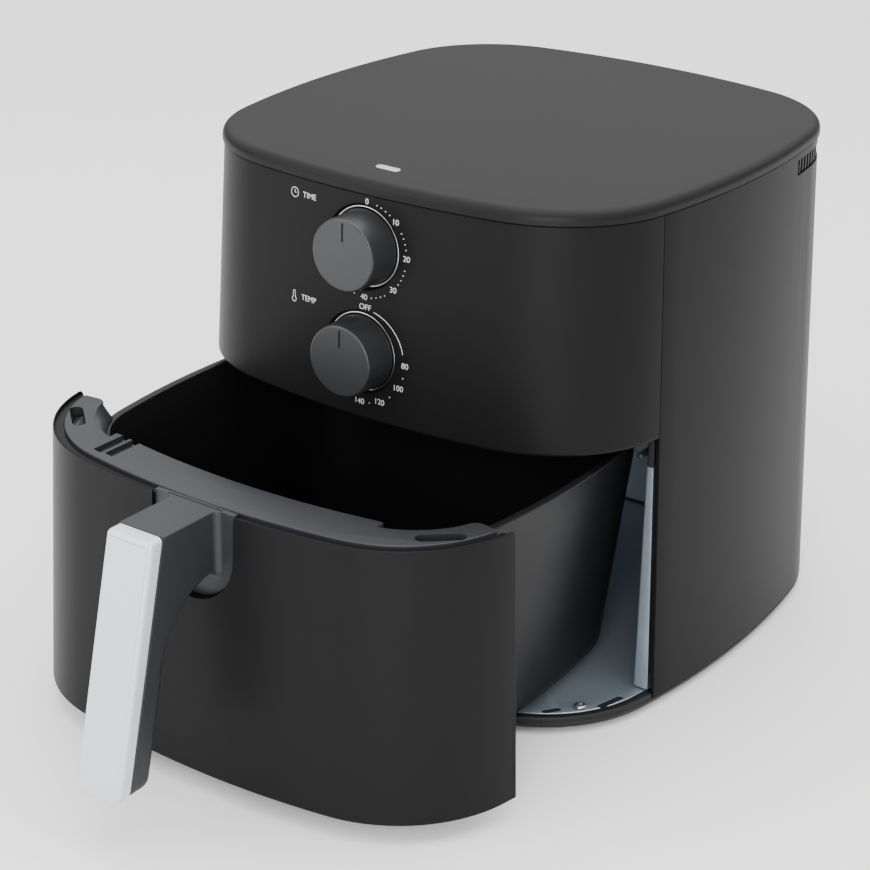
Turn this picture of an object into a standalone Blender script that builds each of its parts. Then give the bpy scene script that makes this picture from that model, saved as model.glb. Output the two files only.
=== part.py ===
"""Drawer air fryer: flared plastic housing with two dials, a steel cooking bay under a fan heater, and a
pot on a curved drawer front that slides out towards -Y. Metres, +Z up, +X to the right seen from the front.
The frame's origin is the middle of the whole footprint on the table, with the drawer out."""

import math

import bmesh
import bpy
from mathutils import Matrix, Vector

# Body plan: a rounded square of five tangent arcs on each half, sizes at the lid seam
BODY_WIDTH = 0.280
BODY_DEPTH = 0.2887
FRONT_RADIUS = 0.442
SIDE_RADIUS = 0.476
BACK_RADIUS = 0.401
FRONT_CORNER_RADIUS = 0.0714
BACK_CORNER_RADIUS = 0.0708
FLARE = 0.076  # share by which the plan grows from the lid seam down to the table
ARC_STEPS = (7, 6, 3, 6, 6)

# Heights over the table
BASE_BOTTOM_Z = 0.0028
SHELL_BOTTOM_Z = 0.0069
SILL_TOP_Z = 0.0093
FLOOR_TOP_Z = 0.0088
OPENING_TOP_Z = 0.1559
CEILING_Z = 0.1587
LID_SEAM_Z = 0.2752
LID_HEIGHT = 0.0060
LID_CROWN = 0.0045
LID_SKIRT = 0.0028

# Walls and clearances
WALL = 0.0024
DRAWER_WALL = 0.0026
SHEET = 0.0008  # folded steel
GAP = 0.0004  # between fixed pieces that meet
SLIDING_GAP = 0.0012  # round the closed drawer front
SEAM_Y = BODY_DEPTH / 2 - 0.06735  # how far in front of the body's middle the side seams lie

# Dials
TIME_KNOB_Z = 0.2475
TEMPERATURE_KNOB_Z = 0.1915
KNOB_RADIUS = 0.0190
KNOB_BASE_RADIUS = 0.0198
KNOB_LENGTH = 0.0200
WELL_RADIUS = 0.0220
WELL_DEPTH = 0.0030
SHAFT_RADIUS = 0.0030
POINTER_LENGTH = 0.0095
POINTER_WIDTH = 0.0017
POINTER_DEPTH = 0.0008
TIMER_RADIUS = 0.024
TIMER_DEPTH = 0.020
THERMOSTAT_DEPTH = 0.013

# Drawer and pot
DRAWER_OUT = 0.130  # how far the drawer stands out at rest
DRAWER_BOTTOM_Z = 0.0110
RIM_GROOVE = 0.0032  # sunk groove between the drawer front's wall and its top trim
TRIM_THICKNESS = 0.0050
LINER_WALL = 0.0020
LINER_SETBACK = 0.0062  # hollow between the drawer front's wall and its liner
TRIM_SLOT_X = BODY_WIDTH / 2 - 0.025
TRIM_SLOT_Y = 0.03835 - BODY_DEPTH / 2
TRIM_SLOT_LENGTH = 0.0245
TRIM_SLOT_WIDTH = 0.0070
TRIM_SLOT_LEAN = 42  # degrees between a slot and the X axis
POT_WIDTH = BODY_WIDTH - 0.032
POT_DEPTH = BODY_DEPTH - 0.0527
POT_CENTRE_Y = -0.0030
POT_CORNER_RADIUS = 0.050
POT_RIM_Z = 0.146
POT_BOTTOM_Z = 0.0120
POT_RIM_FLANGE = 0.0035
POT_TAPER = 0.0150  # how much narrower each side is at the bottom
POT_WALL = 0.0012
POT_KNEE_HEIGHT = 0.012  # of the rounded lower edge
TRAY_HEIGHT = 0.0150  # crisper tray's top over the pot's outer bottom
TRAY_THICKNESS = 0.0012
TRAY_PLAY = 0.0030  # between the tray's edge and the pot's wall
TRAY_HOLE_RADIUS = 0.0060
TRAY_HOLES_ACROSS = 4
TRAY_FOOT_RADIUS = 0.0060
TRAY_FOOT_X = POT_WIDTH / 2 - 0.050
TRAY_FOOT_Y = POT_DEPTH / 2 - 0.050

# Handle
HANDLE_WIDTH = 0.028
HANDLE_REACH = 0.0440  # grip's outer face in front of the drawer front, at its top
HANDLE_LEAN = 0.0290  # how much further out the grip stands at its lower end
GRIP_BOTTOM_Z = 0.0270
GRIP_COVER_THICKNESS = 0.0080
GRIP_BACK_THICKNESS = 0.0140
FINGER_ARC_RADIUS = 0.042
FLANGE_WIDTH = 0.050
FLANGE_BOTTOM_Z = 0.1065
FLANGE_SUNK = 0.0015
FLANGE_THICKNESS = 0.0035

# Cooking bay and heater
BAY_HALF_WIDTH = BODY_WIDTH / 2 - 0.009
BAY_BACK_Y = BODY_DEPTH / 2 - 0.02035
BAY_CORNER_RADIUS = 0.055
LINER_TOP_Z = 0.1385
COIL_PITCH = 0.011
COIL_TUBE_RADIUS = 0.0032
DOME_RADIUS = BODY_DEPTH / 2 - 0.04835
COIL_RADIUS = DOME_RADIUS - 0.018
DOME_HEIGHT = 0.036
FAN_RADIUS = 0.050
COOLING_FAN_RADIUS = 0.036
MOTOR_RADIUS = 0.030
MOTOR_HEIGHT = 0.027

# Back wall
OUTLET_WIDTH = 0.090
OUTLET_HEIGHT = 0.042
OUTLET_Z = 0.205
GRILLE_DEPTH = 0.0040  # behind the housing's inner face
DUCT_GAP = 0.0025  # between the duct's end and the grille
GLAND_X = -0.070
GLAND_Z = 0.034
GLAND_RADIUS = 0.0085
VENT_HEIGHT = 0.0085
VENT_DROP = 0.0045  # top of the vents under the lid seam
VENT_BAR = 0.0060
VENTS_ACROSS = 11

# Small parts
SCREW_RADIUS = 0.0030
FOOT_RADIUS = 0.0090
FOOT_SPREAD_X = BODY_WIDTH / 2 - 0.040
FOOT_SPREAD_Y = BODY_DEPTH / 2 - 0.04635
PEG_RADIUS = 0.0018
PEG_X = BAY_HALF_WIDTH - 0.003
PEG_Z = 0.1440
PEG_REACH = 0.0020  # how far the peg stands out in front of the side seams

LID_TOP_Z = LID_SEAM_Z + LID_HEIGHT
DRAWER_TOP_Z = OPENING_TOP_Z - 0.0009
HALF_DEPTH = BODY_DEPTH / 2


# ---- plan outlines ----


def corner_centre(first, first_radius, second, second_radius, radius):
    """Centre of the arc of this radius that touches both arcs from inside, on the +X side."""
    step = second - first
    reach = step.length
    a = first_radius - radius
    b = second_radius - radius
    along = (a * a - b * b + reach * reach) / (2 * reach)
    aside = math.sqrt(max(a * a - along * along, 0.0))
    middle = first + step * (along / reach)
    normal = Vector((-step.y, step.x)) / reach
    return max(middle + normal * aside, middle - normal * aside, key=lambda p: p.x)


def plan_arcs(width, depth, radii, corners):
    """Arcs of the right half from the front's middle to the back's: centre, radius, start and end angle."""
    front, side, back = radii
    centres = [
        Vector((0.0, front - depth / 2)),
        Vector((width / 2 - side, 0.0)),
        Vector((0.0, depth / 2 - back)),
    ]
    front_corner = corner_centre(centres[0], front, centres[1], side, corners[0])
    back_corner = corner_centre(centres[2], back, centres[1], side, corners[1])

    def angle(centre, towards):
        way = towards - centre
        return math.atan2(way.y, way.x)

    turns = [
        -math.pi / 2,
        angle(centres[0], front_corner),
        angle(centres[1], front_corner),
        angle(centres[1], back_corner),
        angle(centres[2], back_corner),
        math.pi / 2,
    ]
    rows = [
        (centres[0], front),
        (front_corner, corners[0]),
        (centres[1], side),
        (back_corner, corners[1]),
        (centres[2], back),
    ]
    return [(c, r, turns[i], turns[i + 1]) for i, (c, r) in enumerate(rows)]


BODY_ARCS = plan_arcs(
    BODY_WIDTH,
    BODY_DEPTH,
    (FRONT_RADIUS, SIDE_RADIUS, BACK_RADIUS),
    (FRONT_CORNER_RADIUS, BACK_CORNER_RADIUS),
)
POT_ARCS = plan_arcs(
    POT_WIDTH,
    POT_DEPTH,
    (FRONT_RADIUS, SIDE_RADIUS, BACK_RADIUS),
    (POT_CORNER_RADIUS, POT_CORNER_RADIUS),
)


def right_half(arcs, low_y=-9.0, high_y=9.0):
    """Samples (centre, radius, angle) along the right half between two values of y."""
    found = []
    for (centre, radius, start, end), steps in zip(arcs, ARC_STEPS):
        low = math.asin(max(-1.0, min(1.0, (low_y - centre.y) / radius)))
        high = math.asin(max(-1.0, min(1.0, (high_y - centre.y) / radius)))
        first, last = max(start, low), min(end, high)
        if last - first < 1e-6:
            continue
        for i in range(steps + 1):
            turn = first + (last - first) * i / steps
            place = centre + Vector((math.cos(turn), math.sin(turn))) * radius
            if not found or (place - found[-1][3]).length > 1e-5:
                found.append((centre, radius, turn, place))
    return found


def flare_at(z):
    return 1 + FLARE * (LID_SEAM_Z - z) / LID_SEAM_Z


def offset_points(samples, z, inset, scale, shift_y=0.0):
    points = []
    for centre, radius, turn, _ in samples:
        reach = radius * scale - inset
        x = centre.x * scale + math.cos(turn) * reach
        y = centre.y * scale + math.sin(turn) * reach + shift_y
        points.append(Vector((max(x, 0.0), y, z)))
    return points


def mirrored(points):
    return [Vector((-p.x, p.y, p.z)) for p in reversed(points)]


def ring(z, inset=0.0, shrink=1.0):
    """The whole body outline at a height, moved inwards, counterclockwise seen from above."""
    right = offset_points(right_half(BODY_ARCS), z, inset, flare_at(z) * shrink)
    return right[:-1] + mirrored(right)[:-1]


def pot_ring(z, inset):
    right = offset_points(right_half(POT_ARCS), z, inset, 1.0, POT_CENTRE_Y)
    return right[:-1] + mirrored(right)[:-1]


def front_wall(z, outer, inner, edge_y):
    """Loop round the front part of the body wall, between two insets and the two side edges."""
    samples = right_half(BODY_ARCS, high_y=-edge_y)
    out = offset_points(samples, z, outer, flare_at(z))
    back = offset_points(samples, z, inner, flare_at(z))
    outside = mirrored(out)[:-1] + out
    inside = mirrored(back)[:-1] + back
    return outside + inside[::-1]


def back_wall(z, outer, inner, edge_y):
    """Loop round the side and back part of the body wall."""
    samples = right_half(BODY_ARCS, low_y=-edge_y)
    out = offset_points(samples, z, outer, flare_at(z))
    back = offset_points(samples, z, inner, flare_at(z))
    outside = out + mirrored(out)[1:]
    inside = back + mirrored(back)[1:]
    return outside + inside[::-1]


def front_y(z, inset=0.0, x=0.0):
    """Y of the body's front surface at a height, a distance from the middle."""
    radius = FRONT_RADIUS * flare_at(z) - inset
    centre = (FRONT_RADIUS - HALF_DEPTH) * flare_at(z)
    return centre - math.sqrt(radius * radius - x * x)


def back_y(z, inset=0.0, x=0.0):
    radius = BACK_RADIUS * flare_at(z) - inset
    centre = (HALF_DEPTH - BACK_RADIUS) * flare_at(z)
    return centre + math.sqrt(radius * radius - x * x)


# ---- scene, materials and shared shapes ----


def clear_scene():
    for obj in list(bpy.data.objects):
        bpy.data.objects.remove(obj)


def material(name, colour, roughness, metallic=0.0):
    made = bpy.data.materials.new(name)
    made.use_nodes = True
    shader = made.node_tree.nodes["Principled BSDF"]
    shader.inputs["Base Color"].default_value = (*colour, 1.0)
    shader.inputs["Roughness"].default_value = roughness
    shader.inputs["Metallic"].default_value = metallic
    return made


def add_empty(name, place, parent=None):
    empty = bpy.data.objects.new(name, None)
    empty.empty_display_size = 0.02
    bpy.context.scene.collection.objects.link(empty)
    empty.parent = parent
    empty.location = place
    return empty


def add_object(name, bm, finish, parent, sharp=35.0):
    bmesh.ops.remove_doubles(bm, verts=bm.verts, dist=1e-7)
    bmesh.ops.recalc_face_normals(bm, faces=bm.faces)
    mesh = bpy.data.meshes.new(name)
    bm.to_mesh(mesh)
    bm.free()
    mesh.shade_smooth()
    mesh.set_sharp_from_angle(angle=math.radians(sharp))
    if finish:
        mesh.materials.append(finish)
    obj = bpy.data.objects.new(name, mesh)
    bpy.context.scene.collection.objects.link(obj)
    obj.parent = parent
    return obj


def loft_into(bm, loops):
    rows = [[bm.verts.new(p) for p in loop] for loop in loops]
    for low, high in zip(rows, rows[1:]):
        for i in range(len(low)):
            j = (i + 1) % len(low)
            bm.faces.new((low[i], low[j], high[j], high[i]))
    bm.faces.new(rows[0][::-1])
    bm.faces.new(rows[-1])
    return bm


def loft(name, loops, finish, parent):
    """A closed solid through loops that have the same number of points."""
    return add_object(name, loft_into(bmesh.new(), loops), finish, parent)


def revolve(name, profile, finish, parent, place=(0, 0, 0), axis="Z", steps=32):
    """Turns a closed profile of (radius, height); a radius of 0 lies on the axis."""
    bm = bmesh.new()
    rows = []
    for radius, height in profile:
        if radius < 1e-9:
            rows.append([bm.verts.new((0, 0, height))] * steps)
            continue
        row = []
        for i in range(steps):
            turn = 2 * math.pi * i / steps
            row.append(bm.verts.new((radius * math.cos(turn), radius * math.sin(turn), height)))
        rows.append(row)
    for low, high in zip(rows, rows[1:] + rows[:1]):
        for i in range(steps):
            j = (i + 1) % steps
            corners = []
            for v in (low[i], low[j], high[j], high[i]):
                if v not in corners:
                    corners.append(v)
            if len(corners) > 2:
                bm.faces.new(corners)
    turn_to = {
        "Z": Matrix(),
        "-Y": Matrix.Rotation(math.pi / 2, 4, "X"),
        "Y": Matrix.Rotation(-math.pi / 2, 4, "X"),
    }
    bmesh.ops.transform(bm, matrix=Matrix.Translation(place) @ turn_to[axis], verts=bm.verts)
    return add_object(name, bm, finish, parent)


def block_into(bm, low, high):
    corners = [[a, b] for a, b in zip(low, high)]
    loops = []
    for z in corners[2]:
        (x0, x1), (y0, y1) = corners[0], corners[1]
        loops.append([Vector(p) for p in ((x0, y0, z), (x1, y0, z), (x1, y1, z), (x0, y1, z))])
    return loft_into(bm, loops)


def block(name, low, high, finish, parent, bevel=0.0):
    obj = add_object(name, block_into(bmesh.new(), low, high), finish, parent)
    if bevel:
        soften(obj, bevel)
    return obj


def soften(obj, width, segments=2):
    bevel = obj.modifiers.new("soft_edges", "BEVEL")
    bevel.width = width
    bevel.segments = segments
    bevel.limit_method = "ANGLE"
    bevel.angle_limit = math.radians(50)


def boolean(obj, other, operation):
    step = obj.modifiers.new(operation.lower(), "BOOLEAN")
    step.operation = operation
    step.solver = "EXACT"
    step.object = other
    other.hide_render = True
    other.display_type = "WIRE"


def cut(obj, *cutters):
    for cutter in cutters:
        boolean(obj, cutter, "DIFFERENCE")


def join(obj, *pieces):
    for piece in pieces:
        boolean(obj, piece, "UNION")


def extruded(name, outline, finish, parent, low, high, axis="X"):
    """A closed outline in (y, z), (x, z) or (x, y), stretched along the axis from low to high."""
    place = {
        "X": lambda a, b, t: Vector((t, a, b)),
        "Y": lambda a, b, t: Vector((a, t, b)),
        "Z": lambda a, b, t: Vector((a, b, t)),
    }[axis]
    loops = [[place(a, b, t) for a, b in outline] for t in (low, high)]
    return loft(name, loops, finish, parent)


def arc(centre, radius, start, end, steps):
    """Points of an arc, angles in degrees."""
    points = []
    for i in range(steps + 1):
        turn = math.radians(start + (end - start) * i / steps)
        points.append((centre[0] + radius * math.cos(turn), centre[1] + radius * math.sin(turn)))
    return points


def pill(centre, length, width, steps=6):
    """Slot outline with round ends, lying along the first axis."""
    half = (length - width) / 2
    right = arc((centre[0] + half, centre[1]), width / 2, -90, 90, steps)
    left = arc((centre[0] - half, centre[1]), width / 2, 90, 270, steps)
    return right + left


# ---- housing ----


def build_base(root, look):
    rings = [
        ring(BASE_BOTTOM_Z, 0.0030),
        ring(BASE_BOTTOM_Z + 0.0013, 0.0010),
        ring(SHELL_BOTTOM_Z - GAP, 0.0003),
        ring(SHELL_BOTTOM_Z - GAP + 1e-5, WALL + GAP * 2),
        ring(SILL_TOP_Z, WALL + GAP * 2),
        ring(SILL_TOP_Z + 1e-5, WALL * 2 + GAP * 2),
        ring(FLOOR_TOP_Z - SHEET - GAP, WALL * 2 + GAP * 2),
    ]
    base = loft("base_pan", rings, look["base"], root)
    levels = (SHELL_BOTTOM_Z - 0.0010, SILL_TOP_Z)
    sill = loft(
        "base_sill_tool",
        [front_wall(z, 0.0009, WALL * 2, SEAM_Y + GAP) for z in levels],
        None,
        root,
    )
    join(base, sill)
    for index, (x, y) in enumerate(foot_places()):
        recess = revolve(
            f"foot_recess_tool_{index}",
            [(0, -0.001), (SCREW_RADIUS + GAP, -0.001), (SCREW_RADIUS + GAP, 0.02), (0, 0.02)],
            None,
            root,
            (x * 0.78, y, 0),
            steps=16,
        )
        cut(base, recess)
    return base


def foot_places():
    return [(sx * FOOT_SPREAD_X, sy * FOOT_SPREAD_Y) for sy in (-1, 1) for sx in (-1, 1)]


def build_feet(root, look):
    names = ("front_left", "front_right", "back_left", "back_right")
    top = BASE_BOTTOM_Z - GAP
    for name, (x, y) in zip(names, foot_places()):
        profile = [(0, 0), (FOOT_RADIUS - 0.001, 0), (FOOT_RADIUS, 0.001), (FOOT_RADIUS, top), (0, top)]
        revolve(f"foot_{name}", profile, look["rubber"], root, (x, y, 0), steps=24)
        head = [
            (0, BASE_BOTTOM_Z + 0.0006),
            (SCREW_RADIUS, BASE_BOTTOM_Z + 0.0006),
            (SCREW_RADIUS, BASE_BOTTOM_Z + 0.0026),
            (0, BASE_BOTTOM_Z + 0.0026),
        ]
        revolve(f"base_screw_{name}", head, look["steel"], root, (x * 0.78, y, 0), steps=16)


def build_housing(root, look):
    levels = (SHELL_BOTTOM_Z, OPENING_TOP_Z, LID_SEAM_Z - GAP)
    shell = loft(
        "housing_shell",
        [back_wall(z, 0.0, WALL, SEAM_Y) for z in levels],
        look["body"],
        root,
    )
    outlet = block(
        "outlet_tool",
        (-OUTLET_WIDTH / 2, 0.100, OUTLET_Z - OUTLET_HEIGHT / 2),
        (OUTLET_WIDTH / 2, 0.200, OUTLET_Z + OUTLET_HEIGHT / 2),
        None,
        root,
    )
    gland_hole = revolve(
        "gland_tool",
        [(0, 0), (GLAND_RADIUS + GAP, 0), (GLAND_RADIUS + GAP, 0.1), (0, 0.1)],
        None,
        root,
        (GLAND_X, 0.100, GLAND_Z),
        axis="Y",
        steps=24,
    )
    cut(shell, outlet, gland_hole, vent_cutter(root))
    return shell


def vent_cutter(root):
    """Row of windows that follows the back of the body under the lid, as one tool of separate blocks."""
    top = LID_SEAM_Z - VENT_DROP
    samples = right_half(BODY_ARCS, low_y=HALF_DEPTH * 0.40)
    path = offset_points(samples, top, 0.0, flare_at(top))
    path = path + mirrored(path)[1:]
    lengths = [0.0]
    for a, b in zip(path, path[1:]):
        lengths.append(lengths[-1] + (b - a).length)
    pitch = lengths[-1] / VENTS_ACROSS

    def place(distance):
        for i in range(len(path) - 1):
            if distance <= lengths[i + 1] or i == len(path) - 2:
                share = (distance - lengths[i]) / (lengths[i + 1] - lengths[i])
                way = (path[i + 1] - path[i]).normalized()
                return path[i].lerp(path[i + 1], share), Vector((way.y, -way.x, 0))

    bm = bmesh.new()
    for window in range(VENTS_ACROSS):
        start = window * pitch + VENT_BAR / 2
        ends = [place(start + (pitch - VENT_BAR) * k / 4) for k in range(5)]
        loops = []
        for point, out in ends:
            near, far = point - out * 0.008, point + out * 0.008
            low = Vector((0, 0, -VENT_HEIGHT))
            loops.append([near, far, far + low, near + low])
        loft_into(bm, loops)
    return add_object("vent_tool", bm, None, root)


def build_front_panel(root, look):
    edge = SEAM_Y + GAP
    levels = (OPENING_TOP_Z, (OPENING_TOP_Z + LID_SEAM_Z) / 2, LID_SEAM_Z - GAP)
    panel = loft(
        "front_panel",
        [front_wall(z, 0.0, WALL, edge) for z in levels],
        look["body"],
        root,
    )
    lip = loft(
        "panel_lip_tool",
        [
            front_wall(z, WALL * 0.5, WALL + 0.006, edge + WALL)
            for z in (OPENING_TOP_Z + 0.0002, OPENING_TOP_Z + 0.0022)
        ],
        None,
        root,
    )
    join(panel, lip)
    for name, height in (("time", TIME_KNOB_Z), ("temperature", TEMPERATURE_KNOB_Z)):
        face = front_y(height)
        cup = revolve(
            f"{name}_cup_tool",
            [(0, 0), (WELL_RADIUS + WALL, 0), (WELL_RADIUS + WALL, 0.0070), (0, 0.0070)],
            None,
            root,
            (0, face + WELL_DEPTH + WALL, height),
            axis="-Y",
            steps=40,
        )
        trim_front = loft(
            f"{name}_cup_trim_tool",
            [front_wall(z, -0.02, WALL * 0.5, SEAM_Y) for z in (height - 0.03, height + 0.03)],
            None,
            root,
        )
        cut(cup, trim_front)
        well = revolve(
            f"{name}_well_tool",
            [(0, 0), (WELL_RADIUS, 0), (WELL_RADIUS, 0.03), (0, 0.03)],
            None,
            root,
            (0, face + WELL_DEPTH, height),
            axis="-Y",
            steps=40,
        )
        hole = revolve(
            f"{name}_hole_tool",
            [(0, 0), (SHAFT_RADIUS + 0.001, 0), (SHAFT_RADIUS + 0.001, 0.05), (0, 0.05)],
            None,
            root,
            (0, face + 0.02, height),
            axis="-Y",
            steps=20,
        )
        join(panel, cup)
        cut(panel, well, hole)
    return panel


def build_lid(root, look):
    over = -0.0010
    top = LID_TOP_Z
    crown = [(0.97, 0.0012), (0.90, 0.0024), (0.72, 0.0036), (0.45, 0.0043), (0.16, LID_CROWN)]
    outer = [ring(LID_SEAM_Z, over), ring(LID_SEAM_Z + LID_HEIGHT * 0.62, over), ring(top, 0.0012)]
    for shrink, rise in crown:
        outer.append([Vector((p.x, p.y, top + rise)) for p in ring(LID_SEAM_Z, 0.0, shrink)])
    inner = []
    for shrink, rise in crown[::-1]:
        inner.append([Vector((p.x, p.y, top + rise - WALL)) for p in ring(LID_SEAM_Z, WALL, shrink)])
    inner.append(ring(top - WALL, WALL * 2 + GAP * 2))
    inner.append(ring(LID_SEAM_Z - LID_SKIRT, WALL * 2 + GAP * 2))
    inner.append(ring(LID_SEAM_Z - LID_SKIRT - 1e-5, WALL + GAP * 2))
    inner.append(ring(LID_SEAM_Z - 1e-5, WALL + GAP * 2))
    bm = bmesh.new()
    rows = [[bm.verts.new(p) for p in loop] for loop in outer + [None] + inner if loop]
    split = len(outer)
    for k in range(len(rows)):
        if k == split - 1:
            continue
        low, high = rows[k], rows[(k + 1) % len(rows)]
        for i in range(len(low)):
            j = (i + 1) % len(low)
            bm.faces.new((low[i], low[j], high[j], high[i]))
    bm.faces.new(rows[split - 1])
    bm.faces.new(rows[split])
    lid = add_object("lid", bm, look["lid"], root)
    badge_y = -HALF_DEPTH * 0.865
    badge = extruded(
        "lid_badge",
        pill((0, badge_y), 0.0150, 0.0050),
        look["badge"],
        root,
        top + 0.0010,
        top + 0.0034,
        axis="Z",
    )
    recess = extruded(
        "badge_tool",
        pill((0, badge_y), 0.0150 + GAP * 2, 0.0050 + GAP * 2),
        None,
        root,
        top + 0.0006,
        top + 0.02,
        axis="Z",
    )
    cut(lid, recess)
    return badge


def build_back_fittings(root, look):
    """Outlet grille and cord gland in the back wall."""
    bottom = OUTLET_Z - OUTLET_HEIGHT / 2 + GAP
    top = OUTLET_Z + OUTLET_HEIGHT / 2 - GAP
    half = OUTLET_WIDTH / 2 - GAP
    wall_y = back_y(OUTLET_Z, WALL, half)
    frame_low = Vector((-half, wall_y - GRILLE_DEPTH, bottom))
    frame_high = Vector((half, wall_y + 0.0030, top))
    grille = block("rear_grille", frame_low, frame_high, look["trim"], root)
    slots = 6
    margin = 0.005
    pitch = (top - bottom - margin) / slots
    bm = bmesh.new()
    for i in range(slots):
        z = bottom + margin + i * pitch
        block_into(bm, (-half + margin, wall_y - 0.02, z), (half - margin, wall_y + 0.02, z + pitch - 0.0022))
    slot_tool = add_object("grille_slots_tool", bm, None, root)
    cut(grille, slot_tool)
    gland_y = back_y(GLAND_Z - GLAND_RADIUS * 1.3, 0.0, abs(GLAND_X) - GLAND_RADIUS * 1.3) + GAP
    profile = [
        (0, -0.012),
        (GLAND_RADIUS, -0.012),
        (GLAND_RADIUS, 0),
        (GLAND_RADIUS * 1.3, 0),
        (GLAND_RADIUS * 1.3, 0.0018),
        (GLAND_RADIUS * 0.75, 0.0034),
        (GLAND_RADIUS * 0.45, 0.0034),
        (GLAND_RADIUS * 0.45, -0.004),
        (0, -0.004),
    ]
    revolve("cord_gland", profile, look["trim"], root, (GLAND_X, gland_y, GLAND_Z), axis="Y", steps=24)


# ---- cooking bay ----

def build_floor(root, look):
    inset = WALL * 2 + GAP * 4
    plate = loft(
        "floor_plate",
        [ring(FLOOR_TOP_Z - SHEET, inset), ring(FLOOR_TOP_Z, inset)],
        look["galvanised"],
        root,
    )
    bm = bmesh.new()
    for side in (-1, 1):
        for centre, length, lean in (((0.1300, -0.0975), 0.018, 76), ((0.1100, -0.1240), 0.011, 56)):
            turn = Matrix.Rotation(math.radians(lean), 2)
            loops = []
            for z in (FLOOR_TOP_Z - 0.004, FLOOR_TOP_Z + 0.004):
                loop = []
                for point in pill((0, 0), length, 0.0045):
                    spun = turn @ Vector(point)
                    loop.append(Vector((side * (centre[0] + spun.x), centre[1] + spun.y, z)))
                loops.append(loop if side > 0 else loop[::-1])
            loft_into(bm, loops)
    cut(plate, add_object("floor_slots_tool", bm, None, root))
    for name, side in (("left", -1), ("right", 1)):
        profile = [(0, 0), (0.0034, 0), (0.0034, 0.0008), (0.0022, 0.0018), (0, 0.0018)]
        place = (side * 0.1205, -0.1125, FLOOR_TOP_Z + GAP)
        revolve(f"floor_screw_{name}", profile, look["steel"], root, place, steps=16)


def bay_loop(z, thickness, flange_edge):
    """U-shaped wall round the bay with a flange turned outwards at each front edge."""
    radius = BAY_CORNER_RADIUS
    front = -SEAM_Y + 0.0006

    def side(offset, sign):
        corner = arc(
            (BAY_HALF_WIDTH - radius, BAY_BACK_Y - radius),
            radius + offset,
            0,
            90,
            6,
        )
        return [(sign * x, y) for x, y in corner]

    inner_right = [(BAY_HALF_WIDTH, front)] + side(0.0, 1)
    outer_right = [(flange_edge, front), (flange_edge, front + thickness)]
    outer_right += [(BAY_HALF_WIDTH + thickness, front + thickness)] + side(thickness, 1)
    loop = inner_right + [(-x, y) for x, y in inner_right[::-1]]
    loop += [(-x, y) for x, y in outer_right] + outer_right[::-1]
    return [Vector((x, y, z)) for x, y in loop]


def flange_reach(z):
    """How far out the flange may go before it meets the housing shell's inner face."""
    samples = right_half(BODY_ARCS, low_y=-SEAM_Y, high_y=-SEAM_Y + 0.02)
    inner = offset_points(samples, z, WALL, flare_at(z))
    return inner[0].x - 0.0012


def build_bay(root, look):
    low = SILL_TOP_Z + GAP
    loft(
        "bay_liner",
        [bay_loop(low, SHEET, flange_reach(low)), bay_loop(LINER_TOP_Z, SHEET, flange_reach(LINER_TOP_Z))],
        look["galvanised"],
        root,
    )
    frame_low, frame_high = LINER_TOP_Z + GAP, CEILING_Z - GAP
    frame = loft(
        "bay_frame",
        [
            bay_loop(frame_low, WALL, flange_reach(OPENING_TOP_Z)),
            bay_loop(frame_high, WALL, flange_reach(OPENING_TOP_Z)),
        ],
        look["trim"],
        root,
    )
    peg_hole = revolve(
        "peg_tool",
        [(0, 0), (PEG_RADIUS + 0.0003, 0), (PEG_RADIUS + 0.0003, 0.05), (0, 0.05)],
        None,
        root,
        (PEG_X, -SEAM_Y + 0.017, PEG_Z),
        axis="-Y",
        steps=16,
    )
    ear = block(
        "peg_ear_tool",
        (PEG_X - PEG_RADIUS - 0.0014, -SEAM_Y + 0.0010, PEG_Z - 0.0045),
        (BAY_HALF_WIDTH + WALL * 0.5, -SEAM_Y + 0.0070, PEG_Z + 0.0045),
        None,
        root,
    )
    join(frame, ear)
    cut(frame, peg_hole)


def build_heater(root, look):
    ceiling = loft(
        "bay_ceiling",
        [ring(CEILING_Z, WALL + 0.009), ring(CEILING_Z + SHEET, WALL + 0.009)],
        look["galvanised"],
        root,
    )
    hole = revolve(
        "ceiling_hole_tool",
        [(0, -0.01), (DOME_RADIUS, -0.01), (DOME_RADIUS, 0.01), (0, 0.01)],
        None,
        root,
        (0, 0, CEILING_Z),
        steps=48,
    )
    cut(ceiling, hole)
    seat = CEILING_Z + SHEET + GAP
    bowl(root, look, "heater_dome", DOME_RADIUS, seat, DOME_HEIGHT, "steel")
    bowl(
        root,
        look,
        "heat_shield",
        DOME_RADIUS + 0.010,
        seat + SHEET + GAP,
        DOME_HEIGHT + 0.006,
        "galvanised",
    )
    coil_z = seat + 0.014
    coil(root, look, coil_z)
    guard(root, look, CEILING_Z - 0.0002)


def bowl(root, look, name, radius, seat, height, finish):
    """Upside-down steel pan with an outward flange and a hole for the fan's shaft."""
    hole = SHAFT_RADIUS + 0.004
    soft = 0.006
    profile = [
        (hole, seat + height - SHEET),
        (radius - soft, seat + height - SHEET),
        (radius - SHEET, seat + height - soft),
        (radius - SHEET, seat),
        (radius + 0.008, seat),
        (radius + 0.008, seat + SHEET),
        (radius, seat + SHEET),
        (radius, seat + height - soft),
        (radius - soft, seat + height),
        (hole, seat + height),
    ]
    return revolve(name, profile, look[finish], root, steps=40)


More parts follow.
